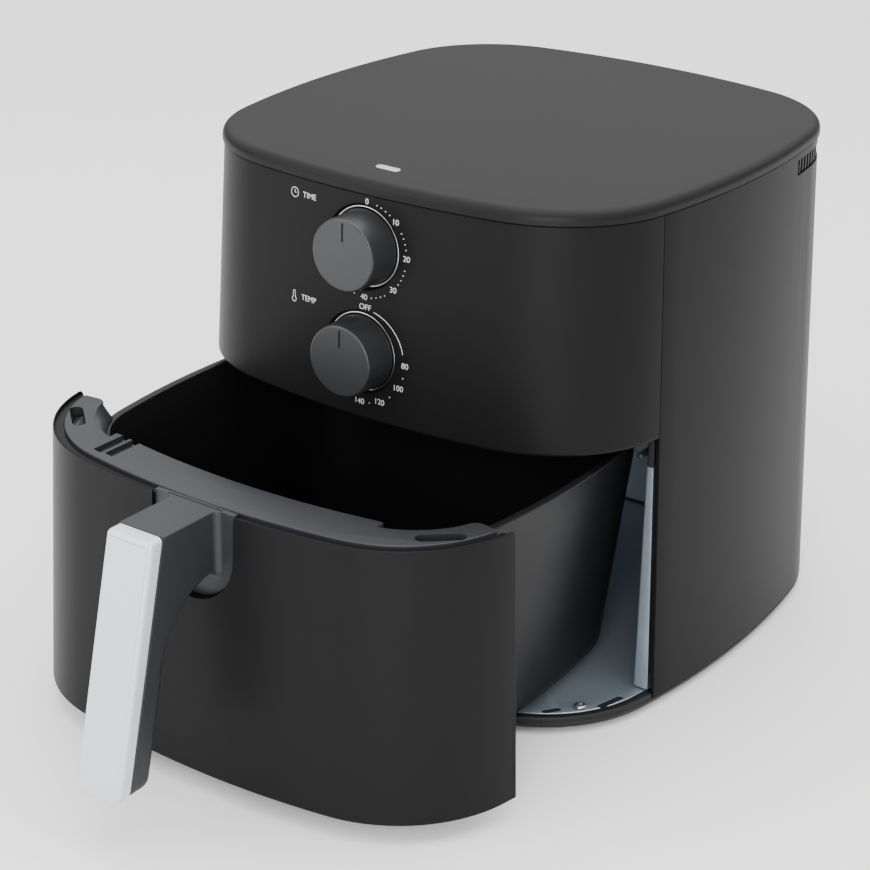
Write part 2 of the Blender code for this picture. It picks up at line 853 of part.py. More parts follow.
def coil(root, look, z):
    """Tubular element: an inward spiral of two turns with both ends bent up."""
    curve = bpy.data.curves.new("heating_coil", "CURVE")
    curve.dimensions = "3D"
    curve.bevel_depth = COIL_TUBE_RADIUS
    curve.bevel_resolution = 1
    curve.use_fill_caps = True
    steps = 56
    turns = 1.9
    points = []
    for i in range(steps + 1):
        turn = 2 * math.pi * turns * i / steps
        radius = COIL_RADIUS - COIL_PITCH * turns * i / steps
        points.append((radius * math.cos(turn), radius * math.sin(turn), z))
    rise = 0.012
    first, last = points[0], points[-1]
    points = [(first[0], first[1], first[2] + rise)] + points + [(last[0], last[1], last[2] + rise)]
    spline = curve.splines.new("POLY")
    spline.points.add(len(points) - 1)
    for point, place in zip(spline.points, points):
        point.co = (*place, 1.0)
    curve.materials.append(look["element"])
    obj = bpy.data.objects.new("heating_coil", curve)
    bpy.context.scene.collection.objects.link(obj)
    obj.parent = root
    return obj


def guard(root, look, top):
    """Flat round guard under the element: rings held by spokes."""
    radius = DOME_RADIUS + 0.006
    plate = revolve(
        "element_guard",
        [(0, top - SHEET - GAP), (radius, top - SHEET - GAP), (radius, top - GAP), (0, top - GAP)],
        look["steel"],
        root,
        steps=40,
    )
    bm = bmesh.new()
    sectors = 6
    for first, last in ((1 / 8, 3 / 8), (5 / 12, 2 / 3), (17 / 24, 15 / 16)):
        inner, outer = DOME_RADIUS * first, DOME_RADIUS * last
        for k in range(sectors):
            start = 360 * k / sectors + math.degrees(0.002 / inner) + 4
            end = 360 * (k + 1) / sectors - math.degrees(0.002 / inner) - 4
            outline = arc((0, 0), inner, start, end, 3) + arc((0, 0), outer, end, start, 5)
            loft_into(bm, [[Vector((x, y, z)) for x, y in outline] for z in (top - 0.01, top + 0.01)])
    cut(plate, add_object("guard_openings_tool", bm, None, root))


def build_fan(root, look):
    """Fan rotor on the vertical axis through the body's middle: two impellers, shaft, nut."""
    dome_top = CEILING_Z + SHEET + GAP + DOME_HEIGHT
    spindle = add_empty("fan_axis", (0, 0, 0), root)
    impeller(spindle, look, "hot_air_fan", FAN_RADIUS, dome_top - 0.0055, -0.012, 12, "steel")
    shield_top = dome_top + SHEET + GAP + 0.006
    fan_z = shield_top + 0.004
    impeller(spindle, look, "cooling_fan", COOLING_FAN_RADIUS, fan_z, 0.009, 9, "trim")
    motor_z = fan_z + 0.0135
    low = dome_top - 0.024
    high = motor_z + MOTOR_HEIGHT - 0.004
    revolve(
        "fan_shaft",
        [(0, low), (SHAFT_RADIUS, low), (SHAFT_RADIUS, high), (0, high)],
        look["steel"],
        spindle,
        steps=20,
    )
    nut_low = dome_top - 0.0225
    nut_radius = SHAFT_RADIUS + 0.003
    bore = SHAFT_RADIUS + GAP
    nut_bore = bore / math.cos(math.pi / 6)
    nut_high = nut_low + 0.004
    profile = [(nut_bore, nut_low), (nut_radius, nut_low), (nut_radius, nut_high), (nut_bore, nut_high)]
    revolve("fan_nut", profile, look["steel"], spindle, steps=6)
    motor = revolve(
        "fan_motor",
        [
            (0, motor_z + MOTOR_HEIGHT),
            (0, motor_z + MOTOR_HEIGHT - 0.003),
            (bore + 0.0006, motor_z + MOTOR_HEIGHT - 0.003),
            (bore + 0.0006, motor_z),
            (MOTOR_RADIUS - 0.002, motor_z),
            (MOTOR_RADIUS, motor_z + 0.002),
            (MOTOR_RADIUS, motor_z + MOTOR_HEIGHT - 0.002),
            (MOTOR_RADIUS - 0.002, motor_z + MOTOR_HEIGHT),
        ],
        look["steel"],
        root,
        steps=36,
    )
    leg = MOTOR_RADIUS + 0.012
    top = motor_z + MOTOR_HEIGHT + GAP
    foot = shield_top + GAP
    sheet = 0.0015
    outline = [
        (-leg - 0.010, foot),
        (-leg, foot),
        (-leg, top),
        (leg, top),
        (leg, foot),
        (leg + 0.010, foot),
        (leg + 0.010, foot + sheet),
        (leg + sheet, foot + sheet),
        (leg + sheet, top + sheet),
        (-leg - sheet, top + sheet),
        (-leg - sheet, foot + sheet),
        (-leg - 0.010, foot + sheet),
    ]
    extruded("motor_bracket", outline, look["galvanised"], root, -0.011, 0.011, axis="Y")
    return motor


def impeller(spindle, look, name, radius, z, blade_height, blades, finish):
    disc = 0.0012
    bore = SHAFT_RADIUS + GAP
    low, high = (z, z + disc)
    fan = revolve(
        name,
        [(bore, low), (radius, low), (radius, high), (bore, high)],
        look[finish],
        spindle,
        steps=36,
    )
    bm = bmesh.new()
    for k in range(blades):
        turn = Matrix.Rotation(2 * math.pi * k / blades, 4, "Z")
        part = bmesh.new()
        z_low, z_high = sorted((z + disc / 2, z + blade_height))
        block_into(part, (radius * 0.35, -0.0006, z_low), (radius - 0.001, 0.0006, z_high))
        bmesh.ops.rotate(
            part,
            cent=(radius * 0.35, 0, 0),
            matrix=Matrix.Rotation(math.radians(12), 3, "Z"),
            verts=part.verts,
        )
        bmesh.ops.transform(part, matrix=turn, verts=part.verts)
        mesh = bpy.data.meshes.new("blade")
        part.to_mesh(mesh)
        part.free()
        bm.from_mesh(mesh)
        bpy.data.meshes.remove(mesh)
    join(fan, add_object(f"{name}_blades_tool", bm, None, spindle))
    return fan


def build_outlet_duct(root, look):
    low_y = DOME_RADIUS + 0.022
    high_y = back_y(OUTLET_Z, WALL, OUTLET_WIDTH / 2) - GRILLE_DEPTH - DUCT_GAP
    half = OUTLET_WIDTH / 2 - 0.002
    low, high = OUTLET_Z - OUTLET_HEIGHT / 2 + 0.001, OUTLET_Z + OUTLET_HEIGHT / 2 - 0.001
    duct = block("outlet_duct", (-half, low_y, low), (half, high_y, high), look["galvanised"], root)
    bore = block(
        "duct_tool",
        (-half + SHEET, low_y - 0.01, low + SHEET),
        (half - SHEET, high_y + 0.01, high - SHEET),
        None,
        root,
    )
    cut(duct, bore)


# ---- controls ----


def build_controls(root, look):
    plate_y = front_y(LID_SEAM_Z) + WELL_DEPTH + WALL + 0.014
    low, high = TEMPERATURE_KNOB_Z - 0.026, TIME_KNOB_Z + 0.022
    bracket = block(
        "control_bracket",
        (-0.030, plate_y, low),
        (0.030, plate_y + 0.0012, high),
        look["galvanised"],
        root,
    )
    unit_y = plate_y + 0.0012 + GAP
    dials = (
        ("time_knob", "timer_shaft", TIME_KNOB_Z),
        ("temperature_knob", "thermostat_shaft", TEMPERATURE_KNOB_Z),
    )
    for name, shaft, height in dials:
        hole = revolve(
            f"{name}_bracket_tool",
            [(0, 0), (SHAFT_RADIUS + 0.001, 0), (SHAFT_RADIUS + 0.001, 0.02), (0, 0.02)],
            None,
            root,
            (0, plate_y + 0.01, height),
            axis="-Y",
            steps=20,
        )
        cut(bracket, hole)
        build_knob(root, look, name, shaft, height, unit_y)
    revolve(
        "timer_unit",
        [(0, 0), (TIMER_RADIUS, 0), (TIMER_RADIUS, TIMER_DEPTH), (0, TIMER_DEPTH)],
        look["nylon"],
        root,
        (0, unit_y + GAP, TIME_KNOB_Z - 0.002),
        axis="Y",
        steps=32,
    )
    bell_y = unit_y + TIMER_DEPTH + GAP * 2
    revolve(
        "timer_bell",
        [(0, 0), (0.018, 0), (0.017, 0.004), (0.012, 0.0065), (0, 0.0075)],
        look["steel"],
        root,
        (0, bell_y, TIME_KNOB_Z - 0.002),
        axis="Y",
        steps=28,
    )
    thermostat_low = (-0.017, unit_y + GAP, TEMPERATURE_KNOB_Z - 0.015)
    thermostat_high = (0.017, unit_y + THERMOSTAT_DEPTH, TEMPERATURE_KNOB_Z + 0.015)
    block("thermostat_unit", thermostat_low, thermostat_high, look["nylon"], root, bevel=0.0015)


def build_knob(root, look, name, shaft, height, unit_y):
    """Dial with a sunk pointer mark, turning about an axis along Y, with its shaft and the ring round it."""
    face = front_y(height)
    axis = add_empty(f"{name}_axis", (0, face, height), root)
    back = WELL_DEPTH - 0.0008
    front = -KNOB_LENGTH + WELL_DEPTH
    bore = SHAFT_RADIUS + GAP
    profile = [
        (bore, -back),
        (KNOB_BASE_RADIUS, -back),
        (KNOB_BASE_RADIUS, -back + 0.0012),
        (KNOB_RADIUS, -front - 0.0012),
        (KNOB_RADIUS - 0.0010, -front - 0.0002),
        (KNOB_RADIUS - 0.0018, -front),
        (0, -front),
        (0, -front - 0.006),
        (bore, -front - 0.006),
    ]
    knob = revolve(name, profile, look["knob"], axis, axis="-Y", steps=40)
    middle = KNOB_RADIUS - 0.0025 - POINTER_LENGTH / 2
    outline = [(b, a) for a, b in pill((middle, 0), POINTER_LENGTH, POINTER_WIDTH)][::-1]
    pointer_end = front + POINTER_DEPTH
    pointer = extruded(f"{name}_pointer_tool", outline, None, axis, front - 0.005, pointer_end, axis="Y")
    cut(knob, pointer)
    shaft_back = unit_y - face
    shaft_profile = [
        (0, -shaft_back),
        (SHAFT_RADIUS, -shaft_back),
        (SHAFT_RADIUS, -front - 0.006 - GAP),
        (0, -front - 0.006 - GAP),
    ]
    revolve(shaft, shaft_profile, look["steel"], axis, axis="-Y", steps=20)
    ring_profile = [
        (KNOB_BASE_RADIUS + GAP, 0),
        (WELL_RADIUS - GAP, 0),
        (WELL_RADIUS - GAP, 0.0012),
        (KNOB_BASE_RADIUS + GAP, 0.0012),
    ]
    place = (0, face + WELL_DEPTH - GAP, height)
    revolve(f"{name}_ring", ring_profile, look["badge"], root, place, axis="-Y", steps=40)


def build_electrics(root, look):
    block("terminal_block", (-0.092, 0.062, 0.206), (-0.062, 0.078, 0.220), look["nylon"], root, bevel=0.001)
    block("thermal_cutout", (0.060, 0.050, 0.206), (0.076, 0.066, 0.213), look["nylon"], root, bevel=0.001)
    switch_x = BAY_HALF_WIDTH + WALL + GAP * 2
    switch_y = -SEAM_Y + 0.0270
    block(
        "interlock_switch",
        (switch_x, switch_y, PEG_Z - 0.0055),
        (switch_x + 0.0044, switch_y + 0.0200, PEG_Z + 0.0045),
        look["nylon"],
        root,
    )
    slide = add_empty("peg_axis", (PEG_X, -SEAM_Y, PEG_Z), root)
    profile = [
        (0, -0.0100),
        (PEG_RADIUS, -0.0100),
        (PEG_RADIUS, 0.0012),
        (PEG_RADIUS * 0.6, PEG_REACH),
        (0, PEG_REACH),
    ]
    revolve("switch_peg", profile, look["trim"], slide, axis="-Y", steps=16)


# ---- drawer ----


def build_drawer(root, look):
    drawer = add_empty("drawer_axis", (0, -DRAWER_OUT, 0), root)
    edge = SEAM_Y + SLIDING_GAP
    levels = (DRAWER_BOTTOM_Z, (DRAWER_BOTTOM_Z + DRAWER_TOP_Z) / 2, DRAWER_TOP_Z)
    front = loft(
        "drawer_front",
        [front_wall(z, 0.0, DRAWER_WALL, edge) for z in levels],
        look["body"],
        drawer,
    )
    notch = extruded(
        "notch_tool",
        flange_outline(GAP, DRAWER_TOP_Z + 0.01),
        None,
        drawer,
        front_y(DRAWER_BOTTOM_Z) - 0.01,
        front_y(DRAWER_TOP_Z) + 0.01,
        axis="Y",
    )
    cut(front, notch)
    inset = DRAWER_WALL + LINER_SETBACK
    liner_levels = (DRAWER_BOTTOM_Z + 0.002, DRAWER_TOP_Z - TRIM_THICKNESS - GAP)
    liner = loft(
        "drawer_liner",
        [front_wall(z, inset, inset + LINER_WALL, edge + 0.010) for z in liner_levels],
        look["trim"],
        drawer,
    )
    lug = block(
        "peg_lug_tool",
        (PEG_X - 0.0020, -edge - 0.0145, PEG_Z - 0.0030),
        (PEG_X + PEG_RADIUS + 0.0012, -SEAM_Y - PEG_REACH - GAP, PEG_Z + 0.0030),
        None,
        drawer,
    )
    join(liner, lug)
    build_trim(drawer, look, edge)
    build_pot(drawer, look)
    build_tray(drawer, look)
    build_handle(drawer, look)
    return drawer


def build_trim(drawer, look, edge):
    """Top plate between the drawer front and the pot, with a slot near each end."""
    top = DRAWER_TOP_Z + 0.0002
    low = top - TRIM_THICKNESS
    end = edge + 0.0030
    outer_samples = right_half(BODY_ARCS, high_y=-end)
    inner_samples = right_half(POT_ARCS, high_y=-end - 0.003 - POT_CENTRE_Y)
    inset = DRAWER_WALL + RIM_GROOVE
    loops = []
    for z in (low, top):
        outer = offset_points(outer_samples, z, inset, flare_at(top))
        inner = offset_points(inner_samples, z, POT_RIM_FLANGE + 0.0005, 1.0, POT_CENTRE_Y)
        loop = mirrored(outer)[:-1] + outer
        loop += (mirrored(inner)[:-1] + inner)[::-1]
        loops.append(loop)
    trim = loft("drawer_trim", loops, look["trim"], drawer)
    bm = bmesh.new()
    for side in (-1, 1):
        outline = pill((0, 0), TRIM_SLOT_LENGTH, TRIM_SLOT_WIDTH)
        turn = Matrix.Rotation(math.radians(TRIM_SLOT_LEAN), 2)
        loops = []
        for z in (low - 0.01, top + 0.01):
            loop = []
            for point in outline:
                spun = turn @ Vector(point)
                loop.append(Vector((side * (TRIM_SLOT_X + spun.x), TRIM_SLOT_Y + spun.y, z)))
            loops.append(loop if side > 0 else loop[::-1])
        loft_into(bm, loops)
    cut(trim, add_object("trim_slots_tool", bm, None, drawer))


def pot_inset(z):
    """How far the pot's outer face lies inside its rim's outline, above the rounded lower edge."""
    knee = POT_BOTTOM_Z + POT_KNEE_HEIGHT
    share = (POT_RIM_Z - POT_WALL - z) / (POT_RIM_Z - POT_WALL - knee)
    return POT_RIM_FLANGE + (POT_TAPER - 0.0010) * share


def build_pot(drawer, look):
    taper = POT_RIM_FLANGE + POT_TAPER
    rim_low = POT_RIM_Z - POT_WALL
    knee = POT_BOTTOM_Z + POT_KNEE_HEIGHT
    outer = [
        pot_ring(POT_RIM_Z, 0.0),
        pot_ring(rim_low, 0.0),
        pot_ring(rim_low - 1e-5, POT_RIM_FLANGE),
        pot_ring(knee, pot_inset(knee)),
        pot_ring(POT_BOTTOM_Z + 0.003, taper + 0.0020),
        pot_ring(POT_BOTTOM_Z, taper + 0.0090),
    ]
    inner = [
        pot_ring(POT_BOTTOM_Z + POT_WALL, taper + 0.0090 + POT_WALL * 0.4),
        pot_ring(POT_BOTTOM_Z + 0.003 + POT_WALL * 0.7, taper + 0.0020 + POT_WALL),
        pot_ring(knee, pot_inset(knee) + POT_WALL),
        pot_ring(POT_RIM_Z - 1e-5, POT_RIM_FLANGE + POT_WALL),
    ]
    bm = bmesh.new()
    rows = [[bm.verts.new(p) for p in loop] for loop in outer + inner]
    split = len(outer)
    for k in range(len(rows)):
        if k == split - 1:
            continue
        low, high = rows[k], rows[(k + 1) % len(rows)]
        for i in range(len(low)):
            j = (i + 1) % len(low)
            bm.faces.new((low[i], low[j], high[j], high[i]))
    bm.faces.new(rows[split - 1])
    bm.faces.new(rows[split])
    add_object("pot", bm, look["nonstick"], drawer)


def build_tray(drawer, look):
    """Perforated crisper tray that stands on four silicone feet on the pot's floor."""
    top = POT_BOTTOM_Z + TRAY_HEIGHT
    low = top - TRAY_THICKNESS
    inset = pot_inset(low) + POT_WALL + TRAY_PLAY
    tray = loft("crisper_tray", [pot_ring(low, inset), pot_ring(top, inset)], look["nonstick"], drawer)
    pitch = TRAY_FOOT_X * 1.72 / (TRAY_HOLES_ACROSS - 1)
    bm = bmesh.new()
    for row in range(TRAY_HOLES_ACROSS):
        for column in range(TRAY_HOLES_ACROSS):
            x = (column - (TRAY_HOLES_ACROSS - 1) / 2) * pitch
            y = (row - (TRAY_HOLES_ACROSS - 1) / 2) * pitch + POT_CENTRE_Y
            outline = arc((x, y), TRAY_HOLE_RADIUS, 0, 324, 9)
            loft_into(bm, [[Vector((a, b, z)) for a, b in outline] for z in (low - 0.01, top + 0.01)])
    cut(tray, add_object("tray_holes_tool", bm, None, drawer))
    foot_low = POT_BOTTOM_Z + POT_WALL + GAP
    foot_high = low - GAP
    for depth, sy in (("front", -1), ("back", 1)):
        for side, sx in (("left", -1), ("right", 1)):
            place = (sx * TRAY_FOOT_X, sy * TRAY_FOOT_Y + POT_CENTRE_Y, 0)
            profile = [
                (0, foot_low),
                (TRAY_FOOT_RADIUS - 0.001, foot_low),
                (TRAY_FOOT_RADIUS, foot_low + 0.001),
                (TRAY_FOOT_RADIUS, foot_high),
                (0, foot_high),
            ]
            revolve(f"tray_foot_{depth}_{side}", profile, look["rubber"], drawer, place, steps=16)


def flange_outline(margin, top):
    """Handle plate seen from the front: straight sides and a half-round lower end."""
    half = FLANGE_WIDTH / 2 + margin
    bottom = arc((0, FLANGE_BOTTOM_Z + FLANGE_WIDTH / 2), half, 180, 360, 16)
    return bottom + [(half, top), (-half, top)]


def grip_line(z):
    """Y of the grip's outer face at a height."""
    share = (DRAWER_TOP_Z - z) / (DRAWER_TOP_Z - GRIP_BOTTOM_Z)
    return front_y(DRAWER_TOP_Z) - HANDLE_REACH - HANDLE_LEAN * share


def build_handle(drawer, look):
    flange_top = front_y(DRAWER_TOP_Z, 0.0, FLANGE_WIDTH / 2) + FLANGE_SUNK
    flange = flange_top + FLANGE_THICKNESS
    arm = extruded(
        "handle_arm",
        flange_outline(0.0, DRAWER_TOP_Z),
        look["trim"],
        drawer,
        flange_top,
        flange,
        axis="Y",
    )
    top = DRAWER_TOP_Z
    low = GRIP_BOTTOM_Z + 0.0025
    cover = GRIP_COVER_THICKNESS + GAP
    back = GRIP_COVER_THICKNESS + GRIP_BACK_THICKNESS
    arc_z = FLANGE_BOTTOM_Z + 0.016 - FINGER_ARC_RADIUS
    arc_y = grip_line(arc_z) + back + FINGER_ARC_RADIUS
    finger = arc((arc_y, arc_z), FINGER_ARC_RADIUS, 180, 92, 10)
    profile = [(flange - 0.001, top), (grip_line(top) + cover, top), (grip_line(low) + cover, low)]
    profile += [(grip_line(low) + back - 0.004, low), (grip_line(low + 0.004) + back, low + 0.004)]
    profile += finger
    profile += [(flange - 0.001, arc_z + FINGER_ARC_RADIUS)]
    half = HANDLE_WIDTH / 2
    beam = extruded("handle_beam_tool", profile, None, drawer, -half, half, axis="X")
    join(arm, beam)
    face = [
        (grip_line(top), top),
        (grip_line(top) + GRIP_COVER_THICKNESS, top),
        (grip_line(GRIP_BOTTOM_Z) + GRIP_COVER_THICKNESS, GRIP_BOTTOM_Z),
        (grip_line(GRIP_BOTTOM_Z), GRIP_BOTTOM_Z),
    ]
    grip = extruded("grip_cover", face, look["silver"], drawer, -half, half, axis="X")
    soften(grip, 0.0022)
    for name, side in (("left", -1), ("right", 1)):
        y = flange + GAP
        profile = [(0, 0), (0.0030, 0), (0.0030, 0.0018), (0, 0.0018)]
        place = (side * 0.015, y, DRAWER_TOP_Z - 0.020)
        revolve(f"handle_screw_{name}", profile, look["steel"], drawer, place, axis="Y", steps=16)


def main():
    clear_scene()
    look = {
        "body": material("body_plastic", (0.012, 0.012, 0.013), 0.42),
        "lid": material("lid_plastic", (0.014, 0.014, 0.015), 0.48),
        "base": material("base_plastic", (0.03, 0.03, 0.03), 0.5),
        "trim": material("trim_plastic", (0.022, 0.024, 0.027), 0.45),
        "knob": material("knob_plastic", (0.016, 0.016, 0.018), 0.4),
        "silver": material("grip_silver", (0.56, 0.58, 0.60), 0.35, 0.6),
        "badge": material("bright_metal", (0.62, 0.62, 0.62), 0.3, 1.0),
        "galvanised": material("galvanised_steel", (0.42, 0.46, 0.50), 0.35, 1.0),
        "steel": material("plain_steel", (0.6, 0.6, 0.6), 0.3, 1.0),
        "element": material("element_sheath", (0.09, 0.09, 0.10), 0.5, 0.8),
        "nonstick": material("nonstick_coating", (0.010, 0.010, 0.011), 0.4),
        "nylon": material("white_nylon", (0.75, 0.74, 0.70), 0.5),
        "rubber": material("foot_rubber", (0.02, 0.02, 0.02), 0.8),
    }
    reach = -grip_line(GRIP_BOTTOM_Z) + DRAWER_OUT
    behind = back_y(SHELL_BOTTOM_Z)
    root = add_empty("air_fryer", (0, (reach - behind) / 2, 0))
    build_base(root, look)
    build_feet(root, look)
    build_housing(root, look)
    build_front_panel(root, look)
    build_lid(root, look)
    build_back_fittings(root, look)
    build_floor(root, look)
    build_bay(root, look)
    build_heater(root, look)
    build_fan(root, look)
    build_outlet_duct(root, look)
    build_controls(root, look)
    build_electrics(root, look)
    build_drawer(root, look)


main()
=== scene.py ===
import math

import bmesh
import bpy
from mathutils import Matrix, Vector


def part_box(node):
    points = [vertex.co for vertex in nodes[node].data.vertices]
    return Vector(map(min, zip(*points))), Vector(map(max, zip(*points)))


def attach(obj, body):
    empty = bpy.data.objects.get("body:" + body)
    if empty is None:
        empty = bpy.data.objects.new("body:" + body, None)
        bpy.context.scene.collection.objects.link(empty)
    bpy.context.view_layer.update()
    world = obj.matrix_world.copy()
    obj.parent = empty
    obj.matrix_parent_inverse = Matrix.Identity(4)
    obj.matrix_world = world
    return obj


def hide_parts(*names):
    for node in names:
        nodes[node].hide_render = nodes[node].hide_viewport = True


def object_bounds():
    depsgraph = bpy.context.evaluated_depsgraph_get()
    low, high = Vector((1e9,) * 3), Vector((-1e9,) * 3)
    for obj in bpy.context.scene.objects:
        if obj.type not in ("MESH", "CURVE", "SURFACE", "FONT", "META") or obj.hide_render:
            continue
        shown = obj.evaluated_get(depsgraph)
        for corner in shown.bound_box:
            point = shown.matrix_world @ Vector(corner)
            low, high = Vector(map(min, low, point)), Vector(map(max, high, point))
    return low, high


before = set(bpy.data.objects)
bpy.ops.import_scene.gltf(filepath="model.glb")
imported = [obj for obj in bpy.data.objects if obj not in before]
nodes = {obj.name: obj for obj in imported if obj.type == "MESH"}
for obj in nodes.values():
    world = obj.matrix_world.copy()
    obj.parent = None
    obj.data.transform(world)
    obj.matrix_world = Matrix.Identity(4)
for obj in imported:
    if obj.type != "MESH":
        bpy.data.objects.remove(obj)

cad_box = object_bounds()

# ---- Housing shell ----
# One black moulded wall runs round both sides and the back, flaring a little towards the table. It is
# satin plastic with a very fine grain, clipped to the base, with a row of vents under the lid.

middle_y = sum(corner.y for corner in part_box("fan_shaft")) / 2
body_width, body_depth = 0.280, 0.2887
body_bends = (0.442, 0.476, 0.401)
body_corners = (0.0714, 0.0708)
lid_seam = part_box("housing_shell")[1].z + 0.0004
shell_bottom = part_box("housing_shell")[0].z
flare = 0.076
wall = 0.0024
seam_y = 0.077
outlet_low, outlet_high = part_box("rear_grille")
gland_low, gland_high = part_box("cord_gland")


def touching_centre(first, first_bend, second, second_bend, radius):
    """Centre of the corner arc that touches two gentle bends from inside, on the right-hand side."""
    step = second - first
    reach = step.length
    a, b = first_bend - radius, second_bend - radius
    along = (a * a - b * b + reach * reach) / (2 * reach)
    aside = math.sqrt(a * a - along * along)
    foot = first + step * (along / reach)
    normal = Vector((-step.y, step.x)) / reach
    return max(foot + normal * aside, foot - normal * aside, key=lambda p: p.x)


def half_plan(width, depth, bends, corners, from_y=-1.0, to_y=1.0, fineness=1.0):
    """Right half of a rounded-square plan, front to back, as (point, outward normal) pairs."""
    front, side, back = bends
    centres = [Vector((0, front - depth / 2)), Vector((width / 2 - side, 0)), Vector((0, depth / 2 - back))]
    front_corner = touching_centre(centres[0], front, centres[1], side, corners[0])
    back_corner = touching_centre(centres[2], back, centres[1], side, corners[1])

    def turn(start, end):
        way = end - start
        return math.atan2(way.y, way.x)

    turns = (
        -math.pi / 2,
        turn(centres[0], front_corner),
        turn(centres[1], front_corner),
        turn(centres[1], back_corner),
        turn(centres[2], back_corner),
        math.pi / 2,
    )
    arcs = (
        (centres[0], front, 16),
        (front_corner, corners[0], 20),
        (centres[1], side, 12),
        (back_corner, corners[1], 20),
        (centres[2], back, 16),
    )
    found = []
    for index, (centre, radius, steps) in enumerate(arcs):
        low = math.asin(max(-1.0, min(1.0, (from_y - centre.y) / radius)))
        high = math.asin(max(-1.0, min(1.0, (to_y - centre.y) / radius)))
        start, end = max(turns[index], low), min(turns[index + 1], high)
        if end - start < 1e-6:
            continue
        steps = max(3, round(steps * fineness))
        for i in range(steps + 1):
            angle = start + (end - start) * i / steps
            normal = Vector((math.cos(angle), math.sin(angle)))
            point = centre + normal * radius
            if not found or (point - found[-1][0]).length > 1e-5:
                found.append((point, normal))
    return found


def left_of(samples):
    return [(Vector((-p.x, p.y)), Vector((-n.x, n.y))) for p, n in reversed(samples)]


def whole(samples):
    """A closed plan from its right half, counterclockwise seen from above."""
    return samples + left_of(samples)[1:-1]


def front_part(samples):
    return left_of(samples)[:-1] + samples


def back_part(samples):
    return samples + left_of(samples)[1:]


def body_scale(z):
    return 1 + flare * (lid_seam - z) / lid_seam


def straight(z):
    return 1.0


def rounded(corners, steps=5):
    """Closed outline through (a, b, radius) corners, each one filleted, with a support point past each fillet."""
    outline = []
    count = len(corners)
    for i, (a, b, radius) in enumerate(corners):
        here = Vector((a, b))
        if radius <= 0:
            outline.append(here)
            continue
        before = (Vector(corners[i - 1][:2]) - here).normalized()
        after = (Vector(corners[(i + 1) % count][:2]) - here).normalized()
        half = before.angle(after) / 2
        reach = radius / math.tan(half)
        centre = here + (before + after).normalized() * (radius / math.sin(half))
        start, end = here + before * reach - centre, here + after * reach - centre
        sweep = start.angle_signed(end)
        outline.append(here + before * (reach + radius * 0.4))
        for k in range(steps + 1):
            spin = Matrix.Rotation(-sweep * k / steps, 2)
            outline.append(centre + spin @ start)
        outline.append(here + after * (reach + radius * 0.4))
    return outline


def shrunk(outline, distance):
    """The outline with each point moved inwards."""
    area = sum(outline[i - 1].cross(outline[i]) for i in range(len(outline)))
    side = 1 if area > 0 else -1
    moved = []
    for i, point in enumerate(outline):
        way = outline[(i + 1) % len(outline)] - outline[i - 1]
        if way.length < 1e-9:
            moved.append(point)
            continue
        way.normalize()
        moved.append(point + Vector((-way.y, way.x)) * distance * side)
    return moved


def quarter_turn(steps, first=0):
    """Angles of a quarter turn in equal steps."""
    return [math.pi / 2 * k / steps for k in range(first, steps + 1)]


def place_on(sample, inset, z, scale, shift):
    point, normal = sample
    flat = point * scale(z) - normal * inset
    return Vector((flat.x, flat.y + shift, z))


def fill_rows(bm, rows, around, along):
    """Quads between rows of vertices; around closes each row, along closes the last row onto the first."""
    count = len(rows)
    for r in range(count if along else count - 1):
        low, high = rows[r], rows[(r + 1) % count]
        size = len(low)
        for i in range(size if around else size - 1):
            j = (i + 1) % size
            corners = []
            for v in (low[i], low[j], high[j], high[i]):
                if v not in corners:
                    corners.append(v)
            if len(corners) > 2:
                bm.faces.new(corners)


def soft_end(sample, inner, radius, steps=3):
    """Places and shrinkages that round off the end of a wall, from its tip inwards."""
    point, normal = sample
    if radius <= 0:
        return [(sample, 0.0)]
    way = (inner[0] - point).normalized()
    turns = quarter_turn(steps)
    return [((point + way * radius * (1 - math.cos(t)), normal), radius * (1 - math.sin(t))) for t in turns]


def wall_into(bm, plan, outline, scale, shift, end_round=0.0003):
    """A wall whose cross-section is an outline of (inset, height), carried along a plan.

    A plan that changes with height is given as a function, so that its ends can stand upright.
    """
    known = {}

    def stations(z):
        key = round(z, 6)
        if key not in known:
            samples = plan(z) if callable(plan) else plan
            order = soft_end(samples[0], samples[1], end_round)
            order += [(sample, 0.0) for sample in samples[1:-1]]
            known[key] = order + soft_end(samples[-1], samples[-2], end_round)[::-1]
        return known[key]

    rows = []
    for i, (_, shrink) in enumerate(stations(outline[0][1])):
        section = shrunk(outline, shrink) if shrink > 1e-7 else outline
        rows.append([bm.verts.new(place_on(stations(z)[i][0], a, z, scale, shift)) for a, z in section])
    fill_rows(bm, rows, True, False)
    bm.faces.new(rows[0][::-1])
    bm.faces.new(rows[-1])


def dish_into(bm, samples, outline, scale, shift):
    """A pan or lid: an open outline of (inset, height) carried right round, its two ends filled."""
    rows = [[bm.verts.new(place_on(s, a, z, scale, shift)) for s in samples] for a, z in outline]
    fill_rows(bm, rows, True, False)
    bm.faces.new(rows[0][::-1])
    bm.faces.new(rows[-1])


def as_piece(name, bm, angle=32.0):
    bmesh.ops.remove_doubles(bm, verts=bm.verts, dist=1e-6)
    bmesh.ops.dissolve_degenerate(bm, edges=bm.edges, dist=1e-7)
    bmesh.ops.recalc_face_normals(bm, faces=bm.faces)
    mesh = bpy.data.meshes.new(name)
    bm.to_mesh(mesh)
    bm.free()
    mesh.shade_smooth()
    mesh.set_sharp_from_angle(angle=math.radians(angle))
    piece = bpy.data.objects.new(name, mesh)
    bpy.context.scene.collection.objects.link(piece)
    return piece


